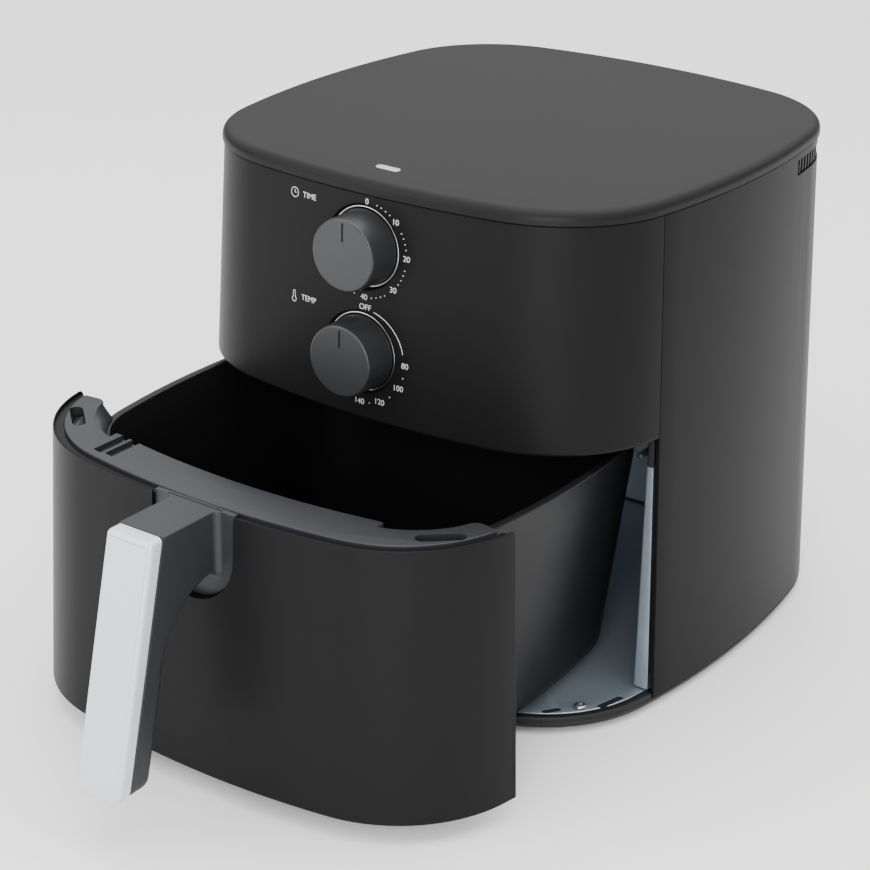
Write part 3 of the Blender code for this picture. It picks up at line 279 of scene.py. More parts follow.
def carved(piece, *tools, operation="DIFFERENCE", angle=32.0, folds=False):
    """The piece after each tool is cut from it or joined to it; the tools are used up.

    folds is for a piece whose own faces may cross, which takes longer.
    """
    for tool in tools:
        step = piece.modifiers.new("carve", "BOOLEAN")
        step.operation = operation
        step.solver = "EXACT"
        step.use_self = folds
        step.object = tool
    shape = bpy.data.meshes.new_from_object(piece.evaluated_get(bpy.context.evaluated_depsgraph_get()))
    piece.modifiers.clear()
    piece.data = shape
    for tool in tools:
        bpy.data.objects.remove(tool)
    shape.shade_smooth()
    shape.set_sharp_from_angle(angle=math.radians(angle))
    return piece


def prism(name, outline, low, high, axis="Z"):
    """A straight-sided tool or part: a flat outline stretched along an axis."""
    spots = {
        "X": lambda a, b, t: Vector((t, a, b)),
        "Y": lambda a, b, t: Vector((a, t, b)),
        "Z": lambda a, b, t: Vector((a, b, t)),
    }[axis]
    bm = bmesh.new()
    rows = [[bm.verts.new(spots(a, b, t)) for a, b in outline] for t in (low, high)]
    fill_rows(bm, rows, True, False)
    bm.faces.new(rows[0][::-1])
    bm.faces.new(rows[1])
    return as_piece(name, bm)


def grained(name, colour, roughness, grain=0.00035, depth=0.02, drift=0.05, metallic=0.0, coat=0.0, tint=0.12,
            shine=0.5):
    """Moulded or coated surface: slow drift of colour and gloss, and a fine grain in the bump."""
    made = bpy.data.materials.new(name)
    made.use_nodes = True
    tree = made.node_tree
    shader = tree.nodes["Principled BSDF"]
    shader.inputs["Metallic"].default_value = metallic
    shader.inputs["Coat Weight"].default_value = coat
    shader.inputs["Specular IOR Level"].default_value = shine
    shader.inputs["Coat Roughness"].default_value = 0.3
    where = tree.nodes.new("ShaderNodeTexCoord")
    slow = tree.nodes.new("ShaderNodeTexNoise")
    slow.inputs["Scale"].default_value = 9.0
    slow.inputs["Detail"].default_value = 3.0
    fine = tree.nodes.new("ShaderNodeTexNoise")
    fine.inputs["Scale"].default_value = 1 / grain
    fine.inputs["Detail"].default_value = 2.0
    tree.links.new(where.outputs["Object"], slow.inputs["Vector"])
    tree.links.new(where.outputs["Object"], fine.inputs["Vector"])
    shade = tree.nodes.new("ShaderNodeMix")
    shade.data_type = "RGBA"
    darker = [c * (1 - tint) for c in colour]
    lighter = [min(1.0, c * (1 + tint)) for c in colour]
    shade.inputs[6].default_value = (*darker, 1)
    shade.inputs[7].default_value = (*lighter, 1)
    tree.links.new(slow.outputs["Fac"], shade.inputs[0])
    tree.links.new(shade.outputs[2], shader.inputs["Base Color"])
    gloss = tree.nodes.new("ShaderNodeMapRange")
    gloss.inputs["From Min"].default_value = 0.3
    gloss.inputs["From Max"].default_value = 0.7
    gloss.inputs["To Min"].default_value = roughness - drift
    gloss.inputs["To Max"].default_value = roughness + drift
    tree.links.new(fine.outputs["Fac"], gloss.inputs["Value"])
    tree.links.new(gloss.outputs["Result"], shader.inputs["Roughness"])
    bump = tree.nodes.new("ShaderNodeBump")
    bump.inputs["Strength"].default_value = depth
    bump.inputs["Distance"].default_value = 0.0002
    tree.links.new(fine.outputs["Fac"], bump.inputs["Height"])
    tree.links.new(bump.outputs["Normal"], shader.inputs["Normal"])
    return made


def finish(piece, material, body, slot, *stands_for):
    piece.data.materials.clear()
    piece.data.materials.append(material)
    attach(piece, body)
    if stands_for:
        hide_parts(*stands_for)
    return piece


def restyle(material, *names):
    """A CAD part whose shape is right keeps its mesh and takes a better finish."""
    for name in names:
        nodes[name].data.materials.clear()
        nodes[name].data.materials.append(material)


body_plastic = grained("satin_black_plastic", (0.0066, 0.0066, 0.0071), 0.40, shine=0.08)

shell_top = lid_seam - 0.0004
shell_section = rounded(
    [
        (0.0, shell_bottom, 0.0006),
        (0.0, shell_top, 0.0006),
        (wall, shell_top, 0.0006),
        (wall, shell_bottom, 0.0006),
    ]
)


def body_back(z):
    """The sides and back from the upright seams, which keep their place while the body flares."""
    return back_part(half_plan(body_width, body_depth, body_bends, body_corners, from_y=-seam_y / body_scale(z)))


def front_up_to(edge):
    """A plan for each height, of the body's front between two upright edges."""
    return lambda z: front_part(
        half_plan(body_width, body_depth, body_bends, body_corners, to_y=-edge / body_scale(z)))


bm = bmesh.new()
wall_into(bm, body_back, shell_section, body_scale, middle_y)
housing = as_piece("housing_wall", bm)

vent_top = lid_seam - 0.0045
vent_height = 0.0085
vent_plan = back_part(half_plan(body_width, body_depth, body_bends, body_corners, from_y=body_depth * 0.20))
bm = bmesh.new()
vent_section = rounded(
    [
        (-0.004, vent_top - vent_height, 0.0),
        (-0.004, vent_top, 0.0),
        (wall + 0.004, vent_top, 0.0),
        (wall + 0.004, vent_top - vent_height, 0.0),
    ]
)
wall_into(bm, vent_plan, vent_section, body_scale, middle_y, end_round=0.0)
vent_window = as_piece("vent_window_tool", bm)
outlet_window = prism(
    "outlet_window_tool",
    [(outlet_low.x, outlet_low.z), (outlet_high.x, outlet_low.z), (outlet_high.x, outlet_high.z),
     (outlet_low.x, outlet_high.z)],
    outlet_low.y - 0.02,
    outlet_high.y + 0.03,
    "Y",
)
gland_centre = (gland_low + gland_high) / 2
gland_hole_radius = 0.0089
gland_hole = prism(
    "gland_hole_tool",
    [
        (
            gland_centre.x + gland_hole_radius * math.cos(math.tau * k / 48),
            gland_centre.z + gland_hole_radius * math.sin(math.tau * k / 48),
        )
        for k in range(48)
    ],
    gland_low.y - 0.02,
    gland_high.y + 0.02,
    "Y",
)
carved(housing, vent_window, outlet_window, gland_hole)
finish(housing, body_plastic, "housing", "body", "housing_shell")

# ---- Vent slats ----
# Upright slats fill the window under the lid, so that fingers stay out and warm air gets out. They are
# moulded with the housing, a little behind its surface, at an even pitch round the back.


def node_tree(name, *inputs):
    """An empty Geometry Nodes tree with a mesh in, a mesh out and named number or material inputs."""
    tree = bpy.data.node_groups.new(name, "GeometryNodeTree")
    tree.interface.new_socket("Geometry", in_out="INPUT", socket_type="NodeSocketGeometry")
    for label, kind, value in inputs:
        socket = tree.interface.new_socket(label, in_out="INPUT", socket_type=kind)
        if value is not None:
            socket.default_value = value
    tree.interface.new_socket("Geometry", in_out="OUTPUT", socket_type="NodeSocketGeometry")
    start = tree.nodes.new("NodeGroupInput")
    end = tree.nodes.new("NodeGroupOutput")
    return tree, start, end


def painted(tree, start, end, geometry):
    """Ends a tree: its geometry made real, given the tree's material and sent out."""
    real = tree.nodes.new("GeometryNodeRealizeInstances")
    paint = tree.nodes.new("GeometryNodeSetMaterial")
    tree.links.new(geometry, real.inputs["Geometry"])
    tree.links.new(real.outputs["Geometry"], paint.inputs["Geometry"])
    tree.links.new(start.outputs["Material"], paint.inputs["Material"])
    tree.links.new(paint.outputs["Geometry"], end.inputs["Geometry"])
    return tree


def grown(name, base, tree, **values):
    """Runs a tree on a mesh and keeps the result as a plain mesh piece."""
    holder = bpy.data.objects.new(name, base)
    bpy.context.scene.collection.objects.link(holder)
    step = holder.modifiers.new("growth", "NODES")
    step.node_group = tree
    for socket in tree.interface.items_tree:
        label = socket.name.replace(" ", "_").lower()
        if getattr(socket, "in_out", "") == "INPUT" and label in values:
            step[socket.identifier] = values[label]
    shape = bpy.data.meshes.new_from_object(holder.evaluated_get(bpy.context.evaluated_depsgraph_get()))
    shape.name = name
    holder.modifiers.clear()
    holder.data = shape
    return holder


def polyline(name, points):
    mesh = bpy.data.meshes.new(name)
    mesh.from_pydata(points, [(i, i + 1) for i in range(len(points) - 1)], [])
    return mesh


def slat_tree():
    tree, start, end = node_tree(
        "slats_along_a_line",
        ("Pitch", "NodeSocketFloat", 0.005),
        ("Thickness", "NodeSocketFloat", 0.002),
        ("Depth", "NodeSocketFloat", 0.002),
        ("Height", "NodeSocketFloat", 0.008),
        ("Material", "NodeSocketMaterial", None),
    )
    link = tree.links.new
    curve = tree.nodes.new("GeometryNodeMeshToCurve")
    spread = tree.nodes.new("GeometryNodeCurveToPoints")
    spread.mode = "LENGTH"
    size = tree.nodes.new("ShaderNodeCombineXYZ")
    box = tree.nodes.new("GeometryNodeMeshCube")
    place = tree.nodes.new("GeometryNodeInstanceOnPoints")
    link(start.outputs["Geometry"], curve.inputs["Mesh"])
    link(curve.outputs["Curve"], spread.inputs["Curve"])
    link(start.outputs["Pitch"], spread.inputs["Length"])
    link(start.outputs["Depth"], size.inputs["X"])
    link(start.outputs["Height"], size.inputs["Y"])
    link(start.outputs["Thickness"], size.inputs["Z"])
    link(size.outputs["Vector"], box.inputs["Size"])
    link(spread.outputs["Points"], place.inputs["Points"])
    link(spread.outputs["Rotation"], place.inputs["Rotation"])
    link(box.outputs["Mesh"], place.inputs["Instance"])
    return painted(tree, start, end, place.outputs["Instances"])


slat_height = vent_top - vent_height / 2
slat_line = [tuple(place_on(s, 0.0016, slat_height, body_scale, middle_y)) for s in vent_plan]
slats = grown(
    "vent_slats",
    polyline("vent_line", slat_line),
    slat_tree(),
    pitch=0.0046,
    thickness=0.0019,
    depth=0.0020,
    height=vent_height + 0.0006,
    material=body_plastic,
)
finish(slats, body_plastic, "housing", "body")

# ---- Front panel ----
# The upper front is a separate curved panel of the same black plastic, clipped into the housing along
# two upright seams. Two shallow round wells are moulded into it for the dials.

panel_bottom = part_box("front_panel")[0].z
seam_gap = 0.0004
well_radius = 0.0221
well_depth = 0.0030
well_rim = 0.0005
knob_heights = {
    "time": sum(corner.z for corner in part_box("time_knob")) / 2,
    "temperature": sum(corner.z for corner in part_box("temperature_knob")) / 2,
}


def front_surface(x, z, inset=0.0):
    """Y of the front's surface, where x is small enough to lie on its gentle bend."""
    radius = body_bends[0] * body_scale(z) - inset
    centre = (body_bends[0] - body_depth / 2) * body_scale(z)
    return middle_y + centre - math.sqrt(radius * radius - x * x)


def turned(name, profile, spot=(0, 0, 0), axis="Z", steps=96, angle=32.0):
    """A turned piece from (radius, height) points; -Y turns its height towards the front."""
    bm = bmesh.new()
    rows = []
    for radius, height in profile:
        if radius < 1e-7:
            rows.append([bm.verts.new((0, 0, height))] * steps)
        else:
            angles = [math.tau * k / steps for k in range(steps)]
            rows.append([bm.verts.new((radius * math.cos(t), radius * math.sin(t), height)) for t in angles])
    closed = profile[0][0] > 1e-7 or profile[-1][0] > 1e-7
    fill_rows(bm, rows, True, closed)
    lean = {"Z": 0.0, "-Y": math.pi / 2, "Y": -math.pi / 2}[axis]
    bmesh.ops.transform(bm, matrix=Matrix.Translation(spot) @ Matrix.Rotation(lean, 4, "X"), verts=bm.verts)
    return as_piece(name, bm, angle)


def joined(name, *pieces):
    """Several meshes as one piece, without a boolean."""
    bm = bmesh.new()
    for piece in pieces:
        bm.from_mesh(piece.data)
        bpy.data.objects.remove(piece)
    mesh = bpy.data.meshes.new(name)
    bm.to_mesh(mesh)
    bm.free()
    mesh.set_sharp_from_angle(angle=math.radians(32))
    made = bpy.data.objects.new(name, mesh)
    bpy.context.scene.collection.objects.link(made)
    return made


panel_section = rounded(
    [
        (0.0, panel_bottom, 0.0016),
        (0.0, shell_top, 0.0006),
        (wall, shell_top, 0.0006),
        (wall, panel_bottom, 0.0006),
    ]
)
edge_y = seam_y + seam_gap
bm = bmesh.new()
wall_into(bm, front_up_to(edge_y), panel_section, body_scale, middle_y)
panel = as_piece("upper_front", bm)
opening_radius = well_radius + well_rim
cups = []
for label, height in knob_heights.items():
    face = front_surface(0, height)
    opening = turned(
        f"{label}_opening_tool",
        [(0, -0.02), (opening_radius, -0.02), (opening_radius, 0.02), (0, 0.02)],
        (0, face, height),
        "-Y",
    )
    carved(panel, opening)
    cup_profile = [
        Vector((0.0045, -well_depth)),
        *[Vector((well_radius - 0.0008 * (1 - math.sin(t)), -well_depth + 0.0008 * (1 - math.cos(t))))
          for t in (0.0, 0.4, 0.8, 1.2, 1.57)],
        *[Vector((well_radius + well_rim * (1 - math.cos(t)), -0.0009 + 0.0009 * math.sin(t)))
          for t in (0.0, 0.4, 0.8, 1.2, 1.57)],
        Vector((opening_radius, -0.0012)),
        Vector((opening_radius, -well_depth - 0.0014)),
        Vector((0.0045, -well_depth - 0.0014)),
    ]
    cups.append(turned(f"{label}_cup", cup_profile, (0, face, height), "-Y"))
panel = joined("upper_front", panel, *cups)
finish(panel, body_plastic, "housing", "body", "front_panel")

# ---- Printed dial scales ----
# Light grey ink on the panel: minutes round the upper dial, degrees round the lower one, with a small
# clock and thermometer sign. Printed after moulding, so it follows the curve of the panel.

ink = grained("scale_ink", (0.50, 0.50, 0.49), 0.55, depth=0.01)
ink_lift = 0.00012
ink_depth = 0.00022
scale_radius = 0.0250


def pressed_on(mesh, spot_x, spot_z):
    """Wraps a flat mesh, drawn in X and Y, onto the panel at a place, a hair in front of its surface."""
    for vertex in mesh.vertices:
        x, z = vertex.co.x + spot_x, vertex.co.y + spot_z
        lift = ink_lift if vertex.co.z > 0 else ink_lift - ink_depth
        vertex.co = Vector((x, front_surface(x, z) - lift, z))
    return mesh


def word(text, size, spot_x, spot_z):
    """A word or number centred on a place on the panel."""
    letters = bpy.data.curves.new("lettering", "FONT")
    letters.body = text
    letters.size = size
    letters.align_x = "CENTER"
    letters.align_y = "CENTER"
    letters.extrude = ink_depth / 2
    holder = bpy.data.objects.new("lettering", letters)
    bpy.context.scene.collection.objects.link(holder)
    bpy.context.view_layer.update()
    flat = bpy.data.meshes.new_from_object(holder.evaluated_get(bpy.context.evaluated_depsgraph_get()))
    bpy.data.objects.remove(holder)
    return pressed_on(flat, spot_x, spot_z)


def stroke(points, width):
    """A thin printed line through flat points, as a raised strip."""
    bm = bmesh.new()
    rows = []
    for i, point in enumerate(points):
        way = (points[min(i + 1, len(points) - 1)] - points[max(i - 1, 0)]).normalized()
        side = Vector((-way.y, way.x)) * width / 2
        edges = (point + side, point - side)
        rows.append([bm.verts.new((p.x, p.y, h)) for p, h in zip((*edges, *edges[::-1]), (1, 1, -1, -1))])
    fill_rows(bm, rows, True, False)
    bm.faces.new(rows[0][::-1])
    bm.faces.new(rows[-1])
    bmesh.ops.recalc_face_normals(bm, faces=bm.faces)
    mesh = bpy.data.meshes.new("stroke")
    bm.to_mesh(mesh)
    bm.free()
    return pressed_on(mesh, 0, 0)


def round_line(centre, radius, start, end, steps=40):
    """Points clockwise round a centre from one angle to another, in degrees from the top."""
    turns = [math.radians(start + (end - start) * k / steps) for k in range(steps + 1)]
    return [Vector((centre[0] + radius * math.sin(t), centre[1] + radius * math.cos(t))) for t in turns]


def dot_tree():
    tree, start, end = node_tree(
        "dots_at_points",
        ("Radius", "NodeSocketFloat", 0.0003),
        ("Height", "NodeSocketFloat", 0.0004),
        ("Material", "NodeSocketMaterial", None),
    )
    link = tree.links.new
    disc = tree.nodes.new("GeometryNodeMeshCylinder")
    disc.inputs["Vertices"].default_value = 12
    place = tree.nodes.new("GeometryNodeInstanceOnPoints")
    link(start.outputs["Radius"], disc.inputs["Radius"])
    link(start.outputs["Height"], disc.inputs["Depth"])
    link(start.outputs["Geometry"], place.inputs["Points"])
    link(disc.outputs["Mesh"], place.inputs["Instance"])
    return painted(tree, start, end, place.outputs["Instances"])


def dots(spots):
    """Small printed dots at flat places on the panel."""
    base = bpy.data.meshes.new("dot_points")
    base.from_pydata([(p.x, p.y, 0) for p in spots], [], [])
    holder = grown("dots", base, dot_tree(), radius=0.00034, height=0.0004, material=ink)
    flat = holder.data
    bpy.data.objects.remove(holder)
    return pressed_on(flat, 0, 0)


def printed(name, *meshes):
    bm = bmesh.new()
    for mesh in meshes:
        bm.from_mesh(mesh)
    mesh = bpy.data.meshes.new(name)
    bm.to_mesh(mesh)
    bm.free()
    piece = bpy.data.objects.new(name, mesh)
    bpy.context.scene.collection.objects.link(piece)
    return finish(piece, ink, "housing", "badge")


def around(centre, radius, degrees):
    return round_line(centre, radius, degrees, degrees, 1)[0]


time_centre = (0.0017, knob_heights["time"] - 0.0010)
numeral_step = 45.0  # degrees from one numeral to the next, ten minutes apart
numeral_size = 0.0043
minutes = []
for k, number in enumerate(("0", "10", "20", "30", "40")):
    spot = around(time_centre, scale_radius, k * numeral_step)
    minutes.append(word(number, numeral_size, spot.x, spot.y))
minute_dots = [
    around(time_centre, scale_radius, (k + share) * numeral_step)
    for k in range(4)
    for share in (0.32, 0.46, 0.61, 0.76)
]
minute_dots.append(around(time_centre, scale_radius, 4.32 * numeral_step))
printed("minute_scale", *minutes, dots(minute_dots))

temperature_centre = (0.0026, knob_heights["temperature"] - 0.0009)
degree_radius = 0.0256
degree_marks = (("OFF", 0), ("80", 91), ("100", 121), ("120", 155), ("140", 184), ("160", 214), ("180", 244),
                ("200", 272))
degree_words = []
for text, angle in degree_marks:
    spot = around(temperature_centre, degree_radius, angle)
    degree_words.append(word(text, numeral_size, spot.x, spot.y))
degree_dots = [around(temperature_centre, degree_radius, (a + b) / 2)
               for (_, a), (_, b) in zip(degree_marks[1:], degree_marks[2:])]
degree_line = stroke(round_line(temperature_centre, degree_radius - 0.0009, 13, 77), 0.00035)
printed("degree_scale", *degree_words, dots(degree_dots), degree_line)

clock_centre = (-0.0460, knob_heights["time"] + 0.0190)
clock = [
    stroke(round_line(clock_centre, 0.0025, 0, 360), 0.00035),
    stroke([Vector(clock_centre) + Vector((0, 0.0016)), Vector(clock_centre)], 0.0003),
    stroke([Vector(clock_centre), Vector(clock_centre) + Vector((0.0012, 0))], 0.0003),
]
printed("time_sign", *clock, word("TIME", numeral_size, -0.0358, knob_heights["time"] + 0.0188))
bulb_centre = (-0.0450, knob_heights["temperature"] + 0.0180)
stem_top = Vector((bulb_centre[0], bulb_centre[1] + 0.0040))
thermometer = [
    stroke(round_line(bulb_centre, 0.0014, 28, 332), 0.00035),
    stroke([Vector((bulb_centre[0] + 0.0007, bulb_centre[1] + 0.0012)), stem_top + Vector((0.0007, 0))], 0.0003),
    stroke([Vector((bulb_centre[0] - 0.0007, bulb_centre[1] + 0.0012)), stem_top - Vector((0.0007, 0))], 0.0003),
    stroke(round_line(stem_top, 0.0007, -90, 90, 12), 0.0003),
]
printed("temperature_sign", *thermometer, word("TEMP", numeral_size, -0.0348, knob_heights["temperature"] + 0.0200))

# ---- Lid ----
# A shallow cap of slightly duller black plastic closes the top. It stands a millimetre over the wall all
# round, turns over a soft shoulder and rises gently to the middle. It is held by hidden snaps.

lid_plastic = grained("matt_black_plastic", (0.0060, 0.0060, 0.0064), 0.46, shine=0.14)
lid_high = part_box("lid")[1]
lid_overhang = 0.0010
shoulder_height = 0.0050
shoulder_inset = 0.0044
crown_start = 0.965  # where the crown begins, as a share of the plan
crown_rise = lid_high.z - lid_seam - 0.0060


def crown_height(share):
    return lid_high.z - crown_rise + crown_rise * (1 - share ** 3) ** 0.48


lid_plan = whole(half_plan(body_width, body_depth, body_bends, body_corners))


def lid_row(bm, inset, z, share=1.0):
    row = []
    for point, normal in lid_plan:
        flat = point * share - normal * inset
        row.append(bm.verts.new((flat.x, flat.y + middle_y, z)))
    return row


bm = bmesh.new()
shoulder_top = crown_height(crown_start)
side_top = shoulder_top - shoulder_height
lid_rows = [lid_row(bm, -lid_overhang + 0.0004, lid_seam), lid_row(bm, -lid_overhang, lid_seam + 0.0004)]
lid_rows += [lid_row(bm, -lid_overhang, lid_seam + 0.0008), lid_row(bm, -lid_overhang, side_top - 0.0004)]
for t in quarter_turn(8):
    inset = -lid_overhang + (shoulder_inset + lid_overhang) * (1 - math.cos(t))
    lid_rows.append(lid_row(bm, inset, side_top + shoulder_height * math.sin(t)))
for share in (0.955, 0.94, 0.915, 0.88, 0.83, 0.76, 0.67, 0.56, 0.44, 0.31, 0.18, 0.07):
    lid_rows.append(lid_row(bm, 0.0, crown_height(share), share))
fill_rows(bm, lid_rows, True, False)
crown_tip = bm.verts.new((0, middle_y, crown_height(0.0)))
for i in range(len(lid_plan)):
    bm.faces.new((lid_rows[-1][i], lid_rows[-1][(i + 1) % len(lid_plan)], crown_tip))
under = [lid_row(bm, wall * 2 + 0.0008, lid_seam), lid_row(bm, wall * 2 + 0.0008, lid_seam + 0.004)]
fill_rows(bm, [lid_rows[0], under[0], under[1]], True, False)
bm.faces.new(under[1])
lid = as_piece("lid_cap", bm)

badge_length, badge_width = 0.0150, 0.0050
badge_y = sum(corner.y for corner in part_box("lid_badge")) / 2


def capsule(length, width, steps=10):
    """Outline with two round ends, lying along the first axis."""
    half = (length - width) / 2
    turns = [math.pi * k / steps - math.pi / 2 for k in range(steps + 1)]
    right = [(half + width / 2 * math.cos(t), width / 2 * math.sin(t)) for t in turns]
    return right + [(-x, -y) for x, y in right]


def lid_share(x, y):
    """How far out a place lies, as a share of the plan."""
    best = 0.0
    for point, normal in lid_plan:
        best = max(best, (x * normal.x + (y - middle_y) * normal.y) / point.dot(normal))
    return best


recess = prism("badge_recess_tool", [(x, y + badge_y) for x, y in capsule(badge_length, badge_width)],
               lid_high.z - 0.0045, lid_high.z + 0.01)
carved(lid, recess)
finish(lid, lid_plastic, "housing", "lid", "lid")

bm = bmesh.new()
badge_rows = []
for inset, rise in ((0.0002, -0.0012), (0.0002, 0.0000), (0.0003, 0.00012), (0.0005, 0.00018), (0.0012, 0.0002)):
    row = []
    for x, y in capsule(badge_length - inset * 2, badge_width - inset * 2):
        height = crown_height(min(1.0, lid_share(x, y + badge_y))) + rise
        row.append(bm.verts.new((x, y + badge_y, height)))
    badge_rows.append(row)
fill_rows(bm, badge_rows, True, False)
bm.faces.new(badge_rows[0][::-1])
bm.faces.new(badge_rows[-1])
badge = as_piece("blank_badge", bm)
bright_metal = grained("satin_aluminium", (0.62, 0.62, 0.61), 0.32, metallic=1.0, tint=0.05)
finish(badge, bright_metal, "housing", "badge", "lid_badge")

# ---- Dials ----
# Each dial is a moulded dark knob, a touch wider at its foot, with a sunk pointer line. It pushes onto a
# steel shaft and turns in its well, with a thin bright ring round its foot.

knob_plastic = grained("dial_plastic", (0.0150, 0.0155, 0.0172), 0.36, shine=0.45)
pointer_length, pointer_width, pointer_depth = 0.0098, 0.0013, 0.0008
for label, height in knob_heights.items():
    low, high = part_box(f"{label}_knob")
    radius = (high.x - low.x) / 2
    top_radius = radius - 0.0008
    length = high.y - low.y
    outline = [
        (0.0034, length * 0.3),
        (0.0034, 0.0),
        (radius - 0.0003, 0.0),
        (radius, 0.0003),
        (radius, 0.0014),
        (radius - 0.0002, 0.0034),
        (top_radius + 0.0002, length - 0.0030),
        (top_radius, length - 0.0014),
    ]
    soft = 0.0009
    for t in quarter_turn(5):
        outline.append((top_radius - soft * (1 - math.cos(t)), length - soft * (1 - math.sin(t))))
    outline += [(top_radius - soft - 0.0004, length), (0.0, length), (0.0, length * 0.3)]
    knob = turned(f"{label}_dial", outline, (0, high.y, height), "-Y", 128)
    pointer_middle = height + top_radius - 0.0020 - pointer_length / 2
    pointer = prism(
        f"{label}_pointer_tool",
        [(b, a + pointer_middle) for a, b in capsule(pointer_length, pointer_width)],
        low.y - 0.01,
        low.y + pointer_depth,
        "Y",
    )
    carved(knob, pointer)
    finish(knob, knob_plastic, f"{label}_dial", "knob", f"{label}_knob")
    ring_low, ring_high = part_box(f"{label}_knob_ring")
    ring_radius = (ring_high.x - ring_low.x) / 2 - 0.0007
    ring_outline = [
        (ring_radius + 0.0005 * math.cos(math.tau * k / 12), 0.0006 + 0.0005 * math.sin(math.tau * k / 12))
        for k in range(12)
    ]
    ring = turned(f"{label}_dial_ring", ring_outline, (0, ring_high.y, height), "-Y", 128)
    finish(ring, bright_metal, "housing", "badge", f"{label}_knob_ring")

# ---- Base and feet ----
# A dark moulded pan closes the bottom and carries the drawer's sill in front. Four round rubber feet and
# four screws are underneath, and the outer edge is rounded where it meets the table's shadow.

base_plastic = grained("base_plastic", (0.0080, 0.0080, 0.0086), 0.5, shine=0.25)
base_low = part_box("base_pan")[0].z
sill_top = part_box("base_pan")[1].z
floor_low, floor_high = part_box("floor_plate")
foot_names = [f"foot_{row}_{side}" for row in ("front", "back") for side in ("left", "right")]
screw_names = [f"base_screw_{row}_{side}" for row in ("front", "back") for side in ("left", "right")]
body_plan = whole(half_plan(body_width, body_depth, body_bends, body_corners))
base_join = shell_bottom - 0.0004

bm = bmesh.new()
base_profile = [(0.030, floor_low.z - 0.0004), (0.0056, floor_low.z - 0.0004)]
base_profile += [(0.0034, floor_low.z - 0.0004), (0.0034, base_join + 0.0001), (0.0034, base_join)]
base_profile += [(0.0010, base_join), (0.0006, base_join - 0.0001), (0.0003, base_join - 0.0004)]
edge_round = 0.0030
edge_height = base_join - 0.0008 - base_low
for t in quarter_turn(8):
    inset = 0.0003 + edge_round * (1 - math.cos(t))
    base_profile.append((inset, base_low + edge_height * (1 - math.sin(t))))
base_profile += [(0.0075, base_low), (0.011, base_low), (0.0115, base_low + 0.0008), (0.030, base_low + 0.0008)]
dish_into(bm, body_plan, base_profile, body_scale, middle_y)
base = as_piece("base_tray", bm)
sill_section = rounded(
    [
        (0.0009, base_join - 0.0012, 0.0),
        (0.0009, sill_top, 0.0009),
        (wall * 2, sill_top, 0.0004),
        (wall * 2, base_join - 0.0012, 0.0),
    ]
)
bm = bmesh.new()
wall_into(bm, front_up_to(edge_y), sill_section, body_scale, middle_y)
base = joined("base_tray", base, as_piece("sill", bm))
finish(base, base_plastic, "housing", "base", "base_pan")


def copies(name, shape, spots, material):
    """The same small piece at several places, grown by a tree that puts it on points."""
    tree, start, end = node_tree(
        f"{name}_on_points",
        ("Piece", "NodeSocketObject", None),
        ("Material", "NodeSocketMaterial", None),
    )
    link = tree.links.new
    fetch = tree.nodes.new("GeometryNodeObjectInfo")
    place = tree.nodes.new("GeometryNodeInstanceOnPoints")
    link(start.outputs["Piece"], fetch.inputs["Object"])
    link(start.outputs["Geometry"], place.inputs["Points"])
    link(fetch.outputs["Geometry"], place.inputs["Instance"])
    painted(tree, start, end, place.outputs["Instances"])
    base_mesh = bpy.data.meshes.new(name)
    base_mesh.from_pydata([tuple(p) for p in spots], [], [])
    made = grown(name, base_mesh, tree, piece=shape, material=material)
    bpy.data.objects.remove(shape)
    made.data.set_sharp_from_angle(angle=math.radians(32))
    return made


def middle_of(name):
    low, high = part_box(name)
    return (low + high) / 2


foot_low, foot_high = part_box(foot_names[0])
foot_radius = (foot_high.x - foot_low.x) / 2
foot_height = foot_high.z - foot_low.z
foot_profile = [(0, 0.0004), (foot_radius * 0.45, 0.0004), (foot_radius * 0.5, 0.0)]
for t in quarter_turn(5):
    foot_profile.append((foot_radius - 0.0010 * (1 - math.sin(t)), 0.0010 * (1 - math.cos(t))))
foot_profile += [(foot_radius, foot_height), (0, foot_height)]
foot_rubber = grained("foot_rubber", (0.020, 0.020, 0.020), 0.75, grain=0.0008, depth=0.05)
foot_shape = turned("foot_shape", foot_profile, steps=48)
foot_spots = [Vector((middle_of(n).x, middle_of(n).y, foot_low.z)) for n in foot_names]
finish(copies("rubber_feet", foot_shape, foot_spots, foot_rubber), foot_rubber, "housing", "rubber", *foot_names)


def cross_screw(name, radius, height, axis="Z"):
    """A low domed screw head with a cross recess, its top at the origin's side away from the thread."""
    profile = [(0, 0), (radius, 0), (radius, height * 0.35)]
    for t in quarter_turn(6, 1):
        profile.append((radius * (0.45 + 0.55 * math.cos(t)), height * (0.35 + 0.65 * math.sin(t))))
    profile.append((0, height))
    head = turned(name, profile, steps=32)
    arm, reach = radius * 0.16, radius * 0.62
    cross = [(reach, arm), (arm, arm), (arm, reach), (-arm, reach), (-arm, arm), (-reach, arm),
             (-reach, -arm), (-arm, -arm), (-arm, -reach), (arm, -reach), (arm, -arm), (reach, -arm)]
    carved(head, prism(f"{name}_cross_tool", cross, height * 0.45, height * 2))
    lean = {"Z": 0.0, "-Z": math.pi, "-Y": math.pi / 2, "Y": -math.pi / 2}[axis]
    head.data.transform(Matrix.Rotation(lean, 4, "X"))
    return head


screw_steel = grained("screw_steel", (0.46, 0.46, 0.47), 0.34, metallic=1.0, tint=0.06)
screw_low, screw_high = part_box(screw_names[0])
screw_radius = (screw_high.x - screw_low.x) / 2
base_spots = [Vector((middle_of(n).x, middle_of(n).y, screw_high.z)) for n in screw_names]
base_screws = copies("base_screws", cross_screw("base_screw_shape", screw_radius, 0.0018, "-Z"), base_spots,
                     screw_steel)
finish(base_screws, screw_steel, "housing", "steel", *screw_names)

